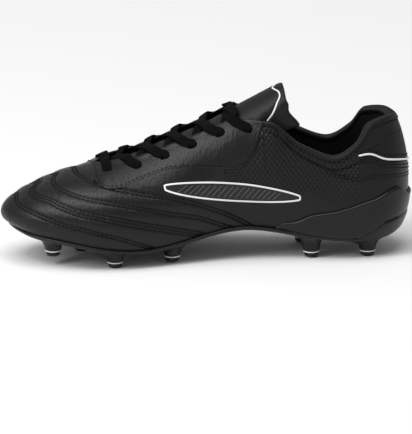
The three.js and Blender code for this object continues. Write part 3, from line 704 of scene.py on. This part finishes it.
BADGE_HATCH = moulded_finish("badge_ink", 0.16, 0.5, 0.03, 0.0)
STIFF = moulded_finish("stiffener_sheet", 0.28, 0.7, 0.1, 0.0)
BOARD_SHEET = board_finish("fibre_board")
STEEL = steel_finish("spring_steel")


def dress(piece, material, body):
    """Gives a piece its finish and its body."""
    piece.data.materials.clear()
    piece.data.materials.append(material)
    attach(piece, body)


def whole(t):
    return np.ones_like(np.asarray(t, float))


def feather(t):
    return np.zeros_like(np.asarray(t, float))


# ---------------------------------------------------------------- camera, light and floor
CAMERA_ELEVATION = math.radians(16.5)
CAMERA_TURN = math.radians(-5)
CAMERA_AWAY = 6.0
VIEW_WIDTH = 0.2915             # width of the view at the shoe
SENSOR = 36.0
LOOK_AT = Vector((0, 0, 0.0248))


def aim(thing, target):
    thing.rotation_euler = (target - thing.location).to_track_quat("-Z", "Y").to_euler()


def set_camera():
    data = bpy.data.cameras.new("camera")
    data.sensor_width = SENSOR
    data.sensor_fit = "HORIZONTAL"
    data.lens = SENSOR * CAMERA_AWAY / VIEW_WIDTH
    data.clip_end = 100
    camera = bpy.data.objects.new("camera", data)
    bpy.context.scene.collection.objects.link(camera)
    level = math.cos(CAMERA_ELEVATION)
    aside, towards = math.sin(CAMERA_TURN) * level, -math.cos(CAMERA_TURN) * level
    away = Vector((aside, towards, math.sin(CAMERA_ELEVATION)))
    camera.location = LOOK_AT + away * CAMERA_AWAY
    aim(camera, LOOK_AT)
    bpy.context.scene.camera = camera


def soft_box(name, place, size, power):
    data = bpy.data.lights.new(name, "AREA")
    data.shape = "RECTANGLE"
    data.size, data.size_y = size
    data.energy = power
    lamp = bpy.data.objects.new(name, data)
    bpy.context.scene.collection.objects.link(lamp)
    lamp.location = place
    aim(lamp, Vector((0, 0, 0.04)))


def set_light():
    world = bpy.data.worlds.new("studio")
    world.use_nodes = True
    world.node_tree.nodes["Background"].inputs["Color"].default_value = (1, 1, 1, 1)
    world.node_tree.nodes["Background"].inputs["Strength"].default_value = 0.4
    bpy.context.scene.world = world
    bpy.context.scene.view_settings.view_transform = "Standard"
    sun = bpy.data.lights.new("overhead", "SUN")
    sun.energy = 2.0
    sun.angle = math.radians(45)
    lamp = bpy.data.objects.new("overhead", sun)
    bpy.context.scene.collection.objects.link(lamp)
    lamp.rotation_euler = (math.radians(14), math.radians(-8), 0)
    soft_box("left_strip", (-0.9, -0.6, 0.9), (0.35, 0.9), 11.0)


def set_floor():
    bpy.ops.object.select_all(action="DESELECT")
    bpy.ops.mesh.primitive_plane_add(size=60, location=(0, 0, -0.0003))
    floor = bpy.context.object
    floor.name = "floor"
    settle(floor)
    paper = Finish("floor_paper", grey(0.9), 0.9)
    fibres = paper.noise(400.0)
    paper.shades(fibres, grey(0.77), grey(0.79))
    floor.data.materials.append(paper.material)


# ---------------------------------------------------------------- the upper's panels
eye_seam_curve = steady([EYE_BACK, 6.6, 7.18, 7.63, 8.58, 9.3, 10.03, 10.6, 11.1, 11.5, EYE_END],
                        [1, 0.7, 0.56, 0.6, 0.719, 0.78, 0.765, 0.69, 0.67, 0.74, 1])

# Sewn channels of the vamp, as (station, share of height) knots on the medial side, and how many rows.
VAMP_CHANNELS = (
    (2, ((16.0, 0.8), (15.5, 0.76), (14.9, 0.6), (14.24, 0.457), (13.5, 0.303), (12.75, 0.215),
         (11.74, 0.164), (10.8, 0.13), (10.0, 0.06), (9.6, 0.0))),
    (3, ((14.5, 0.97), (14.4, 0.8), (14.1, 0.68), (13.36, 0.547), (12.8, 0.435), (12.05, 0.345),
         (10.86, 0.305), (9.97, 0.253), (9.09, 0.16), (8.36, 0.05), (8.1, 0.0))),
    (2, ((13.6, 1.0), (13.6, 0.92), (13.4, 0.8), (13.06, 0.695), (12.37, 0.567), (11.8, 0.505),
         (11.16, 0.483), (10.44, 0.451), (9.72, 0.389), (8.41, 0.216), (7.75, 0.09), (7.3, 0.0))),
    (2, ((12.75, 0.99), (12.65, 0.93), (12.39, 0.84), (11.88, 0.725), (11.07, 0.655),
         (10.4, 0.607), (9.43, 0.501), (8.58, 0.371), (7.77, 0.212), (7.1, 0.08), (6.7, 0.0))),
)
ROW_APART = 2.2
COLLAR_SEAM = ((6.1, 0.90), (5.68, 0.90), (5.0, 0.88), (4.3, 0.85), (3.64, 0.83), (2.95, 0.80), (2.3, 0.80),
               (1.67, 0.82), (1.1, 0.86), (0.5, 0.875), (0, 0.88))
OVERLAY_SEAM = ((4.3, 0.83), (3.8, 0.76), (3.1, 0.66), (2.29, 0.59), (1.2, 0.54), (0, 0.52))


def eye_seam(t):
    return eye_seam_curve(toe_wards(t))


def under_eyestay(t):
    k = toe_wards(t)
    return np.where((k > EYE_END) | (k < EYE_BACK), 1.0, eye_seam_curve(k))


def rows_beside(line, count, apart=ROW_APART):
    """Lines side by side over the surface, each with its outward directions."""
    points, normals = on_upper(line)
    ahead = unit(np.gradient(points, axis=0))
    side = unit(np.cross(normals, ahead))
    return [(points + side * (k - (count - 1) / 2) * apart, normals) for k in range(count)]


def vamp_rows():
    rows = []
    for lateral in (False, True):
        for count, knots in VAMP_CHANNELS:
            rows += rows_beside(surface_line(knots, lateral), count)
    return rows


def row_grooves(near):
    return -0.85 * np.exp(-(near / 0.85) ** 2)


def make_vamp():
    rows = vamp_rows()
    lines = np.concatenate([points for points, _ in rows])

    def relief(t, v, place):
        near = distance_to(place, lines)
        return row_grooves(near) + 0.25 * smooth_step(near, 1.0, 6.0)

    vamp = skin("leather_vamp", WAIST, LOOP - WAIST, feather, under_eyestay, 0.0, -LEATHER, 0.78, relief,
                round_top=False)
    dress(vamp, VAMP, "shoe")
    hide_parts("vamp")
    sew("vamp_stitches", rows, -0.55)


DOT_APART = 3.4                 # along the shoe
DOT_ROWS = 2.4                  # between rows, which are staggered


def dots(place):
    """Small pressed dots in staggered rows, deeper towards the collar."""
    x, z = place[..., 0], place[..., 2]
    row = np.round(z / DOT_ROWS)
    odd = 0.5 * np.mod(row, 2)
    column = np.round(x / DOT_APART - odd) + odd
    away = np.hypot(x - column * DOT_APART, z - row * DOT_ROWS)
    fade = smooth_step(z, 40.0, 56.0) * smooth_step(x, -6.0, 24.0)
    return -0.9 * fade * np.exp(-(away / 0.8) ** 2)


def make_quarters():
    def top(t):
        k = toe_wards(t)
        return np.where(k < EYE_BACK, 1 - share(COLLAR_BAND, t), under_eyestay(t))

    for side, lateral in (("medial", False), ("lateral", True)):
        ends = sorted((mirror_side(HEEL_PANEL, lateral), mirror_side(WAIST, lateral)))
        seam = surface_line(COLLAR_SEAM, lateral)[:, :3]
        rows = np.concatenate([points for points, _ in vamp_rows()])

        def relief(t, v, place):
            seams = -0.6 * np.exp(-(distance_to(place, seam) / 0.9) ** 2)
            return dots(place) + seams + row_grooves(distance_to(place, rows))

        quarter = skin(f"leather_quarter_{side}", *ends, feather, top, 0.0, -LEATHER, 0.55, relief)
        dress(quarter, QUARTER, "shoe")
        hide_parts(f"{side}_quarter")


def cut_slits(piece, places, half, depth):
    """Cuts oval slits through a panel, at (point, outward, direction) places."""
    cutters = []
    for point, out, ahead in places:
        bpy.ops.object.select_all(action="DESELECT")
        bpy.ops.mesh.primitive_cylinder_add(vertices=28, radius=MM, depth=depth * MM)
        cutter = bpy.context.object
        cutter.scale = (half[0], half[1], 1)
        turn = Matrix((ahead, np.cross(out, ahead), out)).transposed()
        cutter.rotation_euler = turn.to_euler()
        cutter.location = Vector((point + SHIFT) * MM)
        cutters.append(cutter)
    for cutter in cutters:
        settle(cutter)
    cutter = join(cutters)
    modify(piece, "BOOLEAN", operation="DIFFERENCE", solver="EXACT", object=cutter)
    bpy.data.objects.remove(cutter)


EYE_RISE = 0.55                 # the eyestay stands this far proud of the upper


def make_eyestays():
    for side, lateral in (("medial", False), ("lateral", True)):
        ends = sorted((mirror_side(EYE_BACK - 0.04, lateral), mirror_side(EYE_END + 0.1, lateral)))

        def low(t):
            return np.minimum(eye_seam(t) - share(2.4, t), 1 - share(2.5, t))

        def scallops(t, v, place):
            """The facing's edge swells a little between the holes."""
            from_edge = (1 - v) / share(1.0, t)
            k = toe_wards(t)
            nearest = np.min([np.abs(k - hole - 0.1) for hole in HOLES], axis=0)
            return 0.5 * smooth_step(nearest, 0.15, 0.4) * np.exp(-((from_edge - 1.4) / 1.6) ** 2)

        eyestay = skin(f"leather_eyestay_{side}", *ends, low, whole, EYE_RISE, 0.1, 0.8, scallops,
                       edge=0.5, round_ends=True)
        holes = []
        for k in HOLES:
            t = np.array(float(mirror_side(k, lateral)))
            v = 1 - share(HOLE_SETBACK, t)
            out = outward(t, v)
            ahead = upper(t + 0.01, v) - upper(t - 0.01, v)
            holes.append((upper(t, v), out, unit(ahead - out * np.dot(ahead, out))))
        cut_slits(eyestay, holes, (3.4, 1.5), 8.0)
        only(eyestay)
        bpy.ops.object.shade_smooth_by_angle(angle=math.radians(50))
        dress(eyestay, VAMP, "shoe")
        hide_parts(f"{side}_eyestay")
        t = np.linspace(*ends, 160)[5:-5]
        v = low(t) + share(1.7, t)
        sew(f"eyestay_stitches_{side}", [skin_point(t, v)], EYE_RISE)


COLLAR_BAND = 3.2


pipe_curve = steady([0, 1.5, HEEL_PANEL], [0.63, 0.68, 0.88])


def pipe_line(t):
    return pipe_curve(toe_wards(t))


def make_heel():
    t0, t1 = -HEEL_PANEL, HEEL_PANEL
    panel = skin("heel_cover", t0, t1, feather, lambda t: pipe_line(t) - share(0.8, t), 0.0, -LEATHER, 0.8)
    dress(panel, QUARTER, "shoe")
    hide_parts("heel_panel")
    tab = skin("heel_pull_tab", t0, t1, lambda t: pipe_line(t) + share(0.8, t),
               lambda t: 1 - share(COLLAR_BAND, t), 0.1, -LEATHER, 0.8)
    dress(tab, TAB_SKIN, "shoe")
    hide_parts("heel_tab")
    t = np.linspace(t0 + 0.02, t1 - 0.02, 140)
    v = pipe_line(t)
    centre, out = skin_point(t, v)
    piping = round_cord("heel_white_piping", centre + out * 0.45, 0.72)
    dress(piping, WHITE, "shoe")
    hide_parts("heel_piping")
    rows = []
    for below in (3.2, 5.4):
        v = pipe_line(t) - share(below, t)
        rows.append(skin_point(t, v))
    v = pipe_line(t) + share(2.8, t)
    rows.append(skin_point(t, v))
    sew("heel_stitches", rows, 0.3)


def round_cord(name, centres, radius, sides=10):
    """A round cord with domed ends through points."""
    ahead = unit(np.gradient(centres, axis=0))
    side = unit(np.cross(ahead, np.array([0.0, 0.0, 1.0]) + ahead * 1e-3))
    up = np.cross(side, ahead)
    turn = np.linspace(0, 2 * np.pi, sides, endpoint=False)
    size = np.full(len(centres), radius)
    size[[0, -1]] *= 0.35
    size[[1, -2]] *= 0.85
    ring = side[:, None] * np.cos(turn)[:, None] + up[:, None] * np.sin(turn)[:, None]
    return tube(name, centres[:, None] + ring * size[:, None, None])


counter_edge = steady([42, 58, 72, 88, 100, 109, 118, 129, 134, 140],
                      [26.6, 28.4, 34.1, 36.6, 39.9, 42.9, 45.3, 49.7, 51, 44])


def make_counter():
    cup = steady([0, 1.0, 2.0, 2.6, 3.1, 6.0], [0.19, 0.19, 0.175, 0.11, 0.03, -0.2])

    def high(t):
        edge = v_at_height(t, counter_edge(upper(t, 0.3)[..., 0]))
        return np.minimum(edge, 0.02 + 0.26 * (COUNTER_END - np.abs(t)))

    def relief(t, v, place):
        above = (v - cup(np.abs(t))) / share(1.0, t)
        rim = (high(t) - v) / share(1.0, t)
        step = -0.5 * smooth_step(above, -0.5, 0.5) - 0.7 * np.exp(-((above - 0.4) / 0.8) ** 2)
        lip = 0.35 * np.exp(-((rim - 1.6) / 1.1) ** 2)
        thin = -1.1 * smooth_step(np.abs(t), COUNTER_END - 1.2, COUNTER_END)
        return step + lip + 0.2 + thin

    counter = skin("moulded_counter", -COUNTER_END, COUNTER_END, lambda t: share(0.6, t), high,
                   COUNTER + SEAT, SEAT, 0.8, relief, 1.1)
    dress(counter, COUNTER_SKIN, "shoe")
    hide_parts("heel_counter")


def make_collar():
    t = np.linspace(-EYE_BACK, EYE_BACK, 220)
    out = outward(t, 0.97)
    down = unit(upper(t, 1 - share(2.0, t)) - upper(t, 1.0))
    top = upper(t, 1.0)
    turn = np.linspace(0, np.pi, 13)
    section = [(0.6, COLLAR_BAND)]
    section += [(-2.9 + 3.5 * math.cos(a), 0.4 - 1.6 * math.sin(a)) for a in turn]
    section += [(-6.4, COLLAR_BAND), (-3.0, COLLAR_BAND + 0.2)]
    rings = np.stack([top + out * a + down * b for a, b in section], 1)
    rim = tube("collar_binding", rings)
    dress(rim, TAB_SKIN, "shoe")
    seam = [(top + out * 0.62 + down * (COLLAR_BAND - 0.9), out)]
    sew("collar_stitches", seam, 0.0)
    ts = np.linspace(-EYE_BACK, EYE_BACK, 260)
    s = np.linspace(0, 1, 50)
    low, high = 1 - share(36.0, ts), 1 - share(COLLAR_BAND, ts)
    v = low[:, None] + (high - low)[:, None] * s
    place, out = upper(ts[:, None], v), outward(ts[:, None], v)
    swell = 3.9 * (1 - (1 - np.minimum(s / 0.25, 1)) ** 2) ** 0.5 * (1 - 0.1 * s)
    swell = np.maximum(swell, 0.4)
    channel = 0.9 * np.exp(-((s - 0.45) / 0.03) ** 2)
    inner = place - out * (LEATHER + 0.4 + swell - channel)[None, :, None]
    lining = closed_sheet("collar_padding", place - out * (LEATHER + 0.15), inner)
    dress(lining, LINING, "shoe")
    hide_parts("collar_lining")


# ---------------------------------------------------------------- tongue
TONGUE_THICK = 4.0
TONGUE_REACH = math.radians(62)
TONGUE_FRONT = -63.0
TONGUE_TIP = 54.5
TONGUE_SWEEP = 2.5
TONGUE_BEND = math.radians(47)  # past this angle the tongue's top turns down into its sides
SIDE_RADIUS = 7.0
SIDE_LENGTH = 15.0


def tongue_at(x, a, lift):
    """Points on the tongue's arch at centreline x and angle a, lifted off its face."""
    x, a, lift = np.broadcast_arrays(x, a, lift)
    r = arch_radius(x)
    bend = r + (SIDE_RADIUS - r) * smooth_step(x, 30.0, 40.0)
    flat = np.clip(np.abs(a), 0, TONGUE_BEND)
    beyond = r * (np.abs(a) - flat)
    turn = np.minimum(flat + beyond / bend, np.pi / 2)
    straight = np.maximum(beyond - bend * (np.pi / 2 - TONGUE_BEND), 0)
    sweep_side = np.where(a < 0, 8.0, 1.0)
    aside = r * np.sin(flat) + bend * (np.sin(turn) - np.sin(flat)) + lift * np.sin(turn)
    drop = r * (1 - np.cos(flat)) + bend * (np.cos(flat) - np.cos(turn)) + straight - lift * np.cos(turn)
    swept = TONGUE_SWEEP * (1 - np.cos(turn)) + sweep_side * smooth_step(straight, 3.5, 16.0)
    return np.stack([x + swept * smooth_step(x, 20.0, TONGUE_TIP), aside * np.sign(a), instep(x) - drop], -1)


def tongue_line(knots):
    path = smooth_line([(x, math.radians(a)) for x, a in knots])
    points = tongue_at(path[:, 0], path[:, 1], 0.0)
    normals = tongue_at(path[:, 0], path[:, 1], 1.0) - points
    return points, unit(normals), path


PIPING_HALF = ((34, 92), (37, 78), (42, 65), (46.5, 52), (50.2, 38), (50.2, 25), (48.2, 12), (47, 0))
PIPING_KNOTS = PIPING_HALF + tuple((x, -a) for x, a in PIPING_HALF[-2::-1])


def make_tongue():
    x = samples(TONGUE_FRONT, TONGUE_TIP, TONGUE_TIP - TONGUE_FRONT, 0.8, (0.3, 0.8, 1.6))
    s = samples(-1.0, 1.0, 56.0, 0.8, (0.15, 0.4, 0.8))
    px = x[:, None] + 0 * s
    reach = TONGUE_REACH + SIDE_LENGTH / arch_radius(px) * smooth_step(px, 30.0, 38.0)
    pa = reach * s
    from_end = np.minimum(px - TONGUE_FRONT, TONGUE_TIP - px)
    from_side = (reach - np.abs(pa)) * arch_radius(px)
    edge = np.minimum(from_end, from_side)
    points, _, _ = tongue_line(PIPING_KNOTS)
    flat = tongue_at(px, pa, 0.0)
    near = distance_to(flat, even(points, 0.8))
    pad = 0.9 * smooth_step(px, 8.0, 26.0) * smooth_step(edge, 0.0, 6.0)
    lift = pad - 0.9 * np.exp(-(near / 1.2) ** 2) - edge_drop(edge, 1.9)
    under = -TONGUE_THICK + edge_drop(edge, 1.9)
    tongue = closed_sheet("padded_tongue", tongue_at(px, pa, lift), tongue_at(px, pa, under))
    face_out(tongue)
    dress_blended(tongue, TONGUE_SKIN)
    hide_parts("tongue", "tongue_top")
    points, normals, _ = tongue_line(PIPING_KNOTS)
    piping = round_cord("tongue_white_piping", points + normals * 0.1, 0.62)
    dress_blended(piping, WHITE)


def dress_blended(piece, material):
    """Gives a tongue piece its finish and puts its placement into its mesh."""
    piece.data.materials.clear()
    piece.data.materials.append(material)
    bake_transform(piece)


# ---------------------------------------------------------------- lace
def lace_stops(start_lateral):
    """Half of the lace, from the middle of the bar to its end under the last eyestay.

    The lace turns over at each hole, so the side that faces out changes there."""
    stops = []
    over = SEAT + LACE_THICK / 2
    under = -(LEATHER + over)
    lateral = start_lateral
    face = 1.0

    def spot(t, v, lift, width=1.0, turned=0.0):
        """A stop over the upper; turned is how far the lace has bent down there, in quarter turns."""
        out = outward(t, v)
        down = unit(upper(t, v - 0.01) - upper(t, v))
        angle = turned * math.pi / 2
        faces = face * (out * math.cos(angle) + down * math.sin(angle))
        stops.append((upper(t, v) + out * lift, faces, width))

    def on_tongue(x, y, lift):
        a = math.asin(y / float(arch_radius(x)))
        out = unit(np.array([-0.4 * math.cos(a), math.sin(a), math.cos(a)]))
        stops.append((tongue_at(x, a, lift), face * out, 1.0))

    def toeward(is_lateral):
        return -LACE_SLANT if is_lateral else LACE_SLANT

    for k, station in enumerate(HOLES):
        t = np.array(float(mirror_side(station, lateral)))
        v = 1 - share(HOLE_SETBACK, t)
        mm = share(1.0, t)
        slant = toeward(lateral) * (0.0 if k == 0 else 1.0)
        if k == 0:
            on_tongue(upper(t, 1)[0], 0.0, FACING_RISE + over)
        if k == len(HOLES) - 1:
            slant *= 1.7
        spot(t + slant, 1 + 0 * t, EYE_RISE + over + 0.6)
        spot(t + slant / 2, (1 + v) / 2, EYE_RISE + over + 0.15)
        spot(t, v + 2.2 * mm, EYE_RISE + over - 0.1)
        spot(t, v + 0.4 * mm, EYE_RISE, 0.96, 0.5)
        if k == len(HOLES) - 1:
            spot(t, v - 0.6 * mm, -LEATHER / 2, 0.9, 0.6)
            spot(t, v - 2.2 * mm, under - 0.1, 0.9, 0.3)
            spot(t, v - 9 * mm, under - 0.3)
            break
        spot(t, v - 0.3 * mm, -LEATHER / 2, 0.9, 1.0)
        spot(t, v + 0.6 * mm, under + 0.3, 0.9, 1.6)
        face = -face
        spot(t, v + 2.2 * mm, under - 0.1, 0.9)
        back = toeward(lateral) / 2
        spot(t - back / 2, (1 + v) / 2, under - 0.1)
        spot(t - back, 1 + 0 * t, under)
        following = np.array(float(mirror_side(HOLES[k + 1], not lateral)) + toeward(not lateral))
        start, end = upper(t - back, 1), upper(following, 1)
        stack = LACE_THICK + 2 * SEAT if start_lateral == (k % 2 == 0) else 0.0
        for part, bump, clear in ((0.25, 0.5, 0.0), (0.5, 1.0, 0.0), (0.75, 0.5, 2.0)):
            here = start + (end - start) * part
            on_tongue(here[0], here[1], over + 0.6 + bump * stack + clear)
        lateral = not lateral
    return stops


def make_lace():
    left, right = lace_stops(False), lace_stops(True)[1:]
    stops = left[::-1] + right
    table = np.array([[*point, *out, width] for point, out, width in stops])
    path = even(smooth_line(table, 14), 0.9)
    centres, out, width = path[:, :3], unit(path[:, 3:6]), path[:, 6]
    ahead = unit(np.gradient(centres, axis=0))
    side = unit(np.cross(ahead, out))
    top = unit(np.cross(side, ahead))
    turn = np.linspace(np.pi, -np.pi, 14, endpoint=False)
    across = np.sign(np.cos(turn)) * np.abs(np.cos(turn)) ** 0.7
    through = np.sign(np.sin(turn)) * np.abs(np.sin(turn)) ** 0.6
    half = width * LACE_WIDTH / 2
    rings = (centres[:, None] + side[:, None] * (across[None] * half[:, None])[..., None]
             + top[:, None] * (through * LACE_THICK / 2)[None, :, None])
    lace = tube("woven_lace", rings)
    dress(lace, LACE_WEAVE, "shoe")
    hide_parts("lace")


# ---------------------------------------------------------------- badges
def make_badges():
    t_low, t_high = 5.1, 9.3
    for side, lateral in (("medial", False), ("lateral", True)):
        k = np.linspace(t_low, t_high, 240)
        middle = np.interp(k, (t_low, t_high), (47.0, 58.0))
        half = 6.5 * np.sin(np.pi * np.interp(k, (5.0, 9.4), (0.0, 1.0))) ** 0.6
        t = mirror_side(k, lateral)
        s = np.linspace(-1, 1, 24)
        z = middle[:, None] + half[:, None] * s
        v = v_at_height(t[:, None] + 0 * s, z)
        place, out = upper(t[:, None], v), outward(t[:, None], v)
        film = closed_sheet(f"badge_film_{side}", place + out * 0.55, place + out * 0.05)
        dress(film, BADGE_SKIN, "shoe")
        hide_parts(f"{side}_badge")
        edge = np.concatenate([place[:, -1], place[::-1, 0][1:]])
        outs = np.concatenate([out[:, -1], out[::-1, 0][1:]])
        edge, outs = np.concatenate([edge, edge[:1]]), np.concatenate([outs, outs[:1]])
        line = even(np.concatenate([edge, outs], 1), 0.8)
        border = flat_band(f"badge_border_{side}", line[:, :3], unit(line[:, 3:]), 1.3, 0.75)
        dress(border, WHITE, "shoe")
        bars = []
        for at in np.arange(t_low + 0.9, t_high - 0.35, 0.17):
            i = int(np.argmin(np.abs(k - at)))
            j = int(np.argmin(np.abs(k - at + 0.28)))
            tv = np.stack([np.linspace(k[i], k[j], 8), np.linspace(v[i, 4], v[j, -5], 8)], 1)
            bt = mirror_side(tv[:, 0], lateral)
            bars.append(skin_point(bt, tv[:, 1]))
        hatch = [flat_band(f"hatch_{side}_{n}", p, o, 0.3, 0.62) for n, (p, o) in enumerate(bars)]
        ink = join(hatch)
        ink.name = f"badge_hatch_{side}"
        dress(ink, BADGE_HATCH, "shoe")


def flat_band(name, centres, out, width, rise):
    """A flat printed band that lies on the upper."""
    ahead = unit(np.gradient(centres, axis=0))
    side = unit(np.cross(out, ahead))
    low = 0.3
    half = ((-0.5, low), (-0.46, rise - 0.08), (-0.3, rise))
    section = half + tuple((-a, b) for a, b in half[::-1])
    rings = np.stack([centres + side * a * width + out * b for a, b in section], 1)
    return tube(name, rings)


# ---------------------------------------------------------------- dishes along the sole
DISH_SPINE = 112.0              # rays run from the middle line, which ends this far from the origin


def dish_plan(stations, inset, shares):
    """A plan of rays from the middle line to a rim inset from the feather line."""
    t = np.linspace(0, LOOP, stations)[:-1]
    rim = np.stack([base_x(t), base_y(t)], -1) + inward(t)[:, :2] * inset
    spine = np.stack([np.clip(rim[:, 0], -DISH_SPINE, DISH_SPINE), 0 * t], -1)
    flat = spine[:, None] + (rim - spine)[:, None] * shares[None, :, None]
    return flat, shares[None, :] + 0 * flat[..., 0]


def dish(name, flat, low, high):
    """A solid between two heights over a plan."""
    bottom = np.concatenate([flat, low[..., None]], -1)
    top = np.concatenate([flat, high[..., None]], -1)
    rings = np.concatenate([bottom, top[:, ::-1]], 1)
    count, sides = rings.shape[:2]
    index = np.arange(count * sides).reshape(count, sides)
    a, b = index[:, :-1], index[:, 1:]
    c, d = np.roll(b, -1, 0), np.roll(a, -1, 0)
    uv = np.concatenate([flat, flat[:, ::-1]], 1).reshape(-1, 2) * MM
    return mesh_piece(name, rings.reshape(-1, 3), np.stack([a, b, c, d], -1).reshape(-1, 4).tolist(), uv)


# ---------------------------------------------------------------- sole
STUDS = (
    ("toe_medial", -110, -21, 6.6), ("toe_lateral", -112, 16, 6.8),
    ("ball_medial", -67, -31, 0), ("ball_lateral", -71, 33, 0),
    ("waist_medial", -26, -22.5, 1), ("waist_lateral", -30, 36, 1),
    ("centre_front", -88, 2, 3), ("centre_rear", -48, 4, 0.5),
    ("heel_front_medial", 73, -17.5, 0.4), ("heel_front_lateral", 70, 20, 0.4),
    ("heel_rear_medial", 113, -17, 0), ("heel_rear_lateral", 110, 17, 0),
)
STUD_BASE = 11.5
STUD_NECK = 5.9
RING_RADIUS = 5.75
RING_THICK = 0.8
TIP_RADIUS = 5.6
TIP_FLAT = 4.9
TIP_THICK = 3.3
NECK_UP = TIP_THICK + RING_THICK


def plate_body():
    """The sole plate, before its studs: a dish whose rim follows the feather line."""
    flat, w = dish_plan(361, -PLATE_RIM, np.concatenate([np.linspace(0, 0.94, 16), [0.965, 0.985, 1.0]]))
    line = sole_line(flat[..., 0])
    round_off = 1.5 * smooth_step(w, 0.93, 1.0)
    lip = 1.3 * smooth_step(w, 0.925, 0.95)
    low = line + 1.6 * w ** 4 + round_off * 0.7
    high = line + PLATE + 0.1 + lip - round_off * 0.35
    return dish("sole_blank", flat, low, high)


def stud_body(name, x, y, ground):
    """A moulded stud: a cylinder drawn up in steps into its flared foot."""
    neck = ground + NECK_UP
    height = float(sole_line(x)) + PLATE - 1.2 - neck
    bpy.ops.object.select_all(action="DESELECT")
    place = (np.array([x, y, neck]) + SHIFT) * MM
    bpy.ops.mesh.primitive_circle_add(vertices=40, radius=STUD_NECK * MM, fill_type="NGON",
                                      location=Vector(place))
    stud = bpy.context.object
    stud.name = name
    bpy.ops.object.mode_set(mode="EDIT")
    bpy.ops.mesh.select_all(action="SELECT")
    steps = 8
    before = STUD_NECK
    for i in range(1, steps + 1):
        s = i / steps
        radius = STUD_NECK + (STUD_BASE - STUD_NECK) * (0.2 * s + 0.8 * s ** 3)
        bpy.ops.mesh.extrude_region_move(TRANSFORM_OT_translate={"value": (0, 0, height / steps * MM)})
        bpy.ops.transform.resize(value=(radius / before, radius / before, 1))
        before = radius
    bpy.ops.mesh.select_all(action="SELECT")
    bpy.ops.mesh.normals_make_consistent(inside=False)
    bpy.ops.object.mode_set(mode="OBJECT")
    settle(stud)
    return stud


def make_sole():
    studs = [stud_body(f"stud_blank_{name}", x, y, ground) for name, x, y, ground in STUDS]
    plate = join([plate_body(), *studs])
    plate.name = "moulded_sole"
    modify(plate, "REMESH", mode="VOXEL", voxel_size=0.85 * MM)
    modify(plate, "SMOOTH", factor=0.5, iterations=6)
    plate.data.shade_smooth()
    dress(plate, SOLE, "shoe")
    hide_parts("outsole_plate")


def drum(name, x, y, low, height, top_radius, low_radius, bevel):
    """A short round piece with rounded edges, narrower at the bottom."""
    bpy.ops.object.select_all(action="DESELECT")
    place = (np.array([x, y, low + height / 2]) + SHIFT) * MM
    bpy.ops.mesh.primitive_cylinder_add(vertices=40, radius=top_radius * MM, depth=height * MM,
                                        location=Vector(place))
    piece = bpy.context.object
    piece.name = name
    for vertex in piece.data.vertices:
        vertex.select = vertex.co.z < 0
    bpy.ops.object.mode_set(mode="EDIT")
    bpy.ops.transform.resize(value=(low_radius / top_radius, low_radius / top_radius, 1))
    bpy.ops.object.mode_set(mode="OBJECT")
    settle(piece)
    modify(piece, "BEVEL", width=bevel * MM, segments=4, limit_method="ANGLE", angle_limit=math.radians(40))
    only(piece)
    bpy.ops.object.shade_smooth_by_angle(angle=math.radians(35))
    return piece


def make_studs():
    for name, x, y, ground in STUDS:
        tip = drum(f"tip_{name}", x, y, ground, TIP_THICK, TIP_RADIUS, TIP_FLAT, 1.4)
        dress(tip, TIP, "shoe")
        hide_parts(f"stud_tip_{name}")
        top, below = RING_RADIUS, RING_RADIUS - 0.1
        ring = drum(f"ring_{name}", x, y, ground + TIP_THICK, RING_THICK, top, below, 0.25)
        dress(ring, RING, "shoe")
        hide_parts(f"stud_ring_{name}")


# ---------------------------------------------------------------- inside
BOARD = 1.6                     # insole board
SOCK = 3.6                      # sockliner foam
SOCK_INSET = 5.45


def make_sock():
    flat, w = dish_plan(289, SOCK_INSET, np.concatenate([np.linspace(0, 0.9, 14), [0.95, 0.98, 1.0]]))
    x = flat[..., 0]
    board_top = sole_line(x) + PLATE + 3 * SEAT + BOARD
    heel_cup = 2.0 * smooth_step(x, 60.0, 110.0) * w ** 3
    drop = 1.2 * smooth_step(w, 0.93, 1.0)
    sock = dish("cushioned_sockliner", flat, board_top + 0.1, board_top + SOCK + heel_cup - drop)
    modify(sock, "WELD", merge_threshold=0.0001)
    face_out(sock)
    dress(sock, SOCK_CLOTH, "insert")
    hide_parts("sockliner")


def dress_hidden_nodes():
    finishes = {"shank": STEEL, "insole_board": BOARD_SHEET, "heel_stiffener": STIFF, "toe_puff": STIFF}
    for name, material in finishes.items():
        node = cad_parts[name]
        node.data.materials.clear()
        node.data.materials.append(material)


def sew_upper():
    rows = []
    for lateral in (False, True):
        rows.append(on_upper(surface_line(COLLAR_SEAM, lateral)))
        rows += rows_beside(surface_line(OVERLAY_SEAM, lateral), 2, 2.0)
    sew("quarter_stitches", rows, 0.05)


set_camera()
set_light()
set_floor()
make_vamp()
make_quarters()
make_eyestays()
make_heel()
make_counter()
make_collar()
make_tongue()
make_lace()
make_badges()
make_sole()
make_studs()
make_sock()
sew_upper()
dress_hidden_nodes()
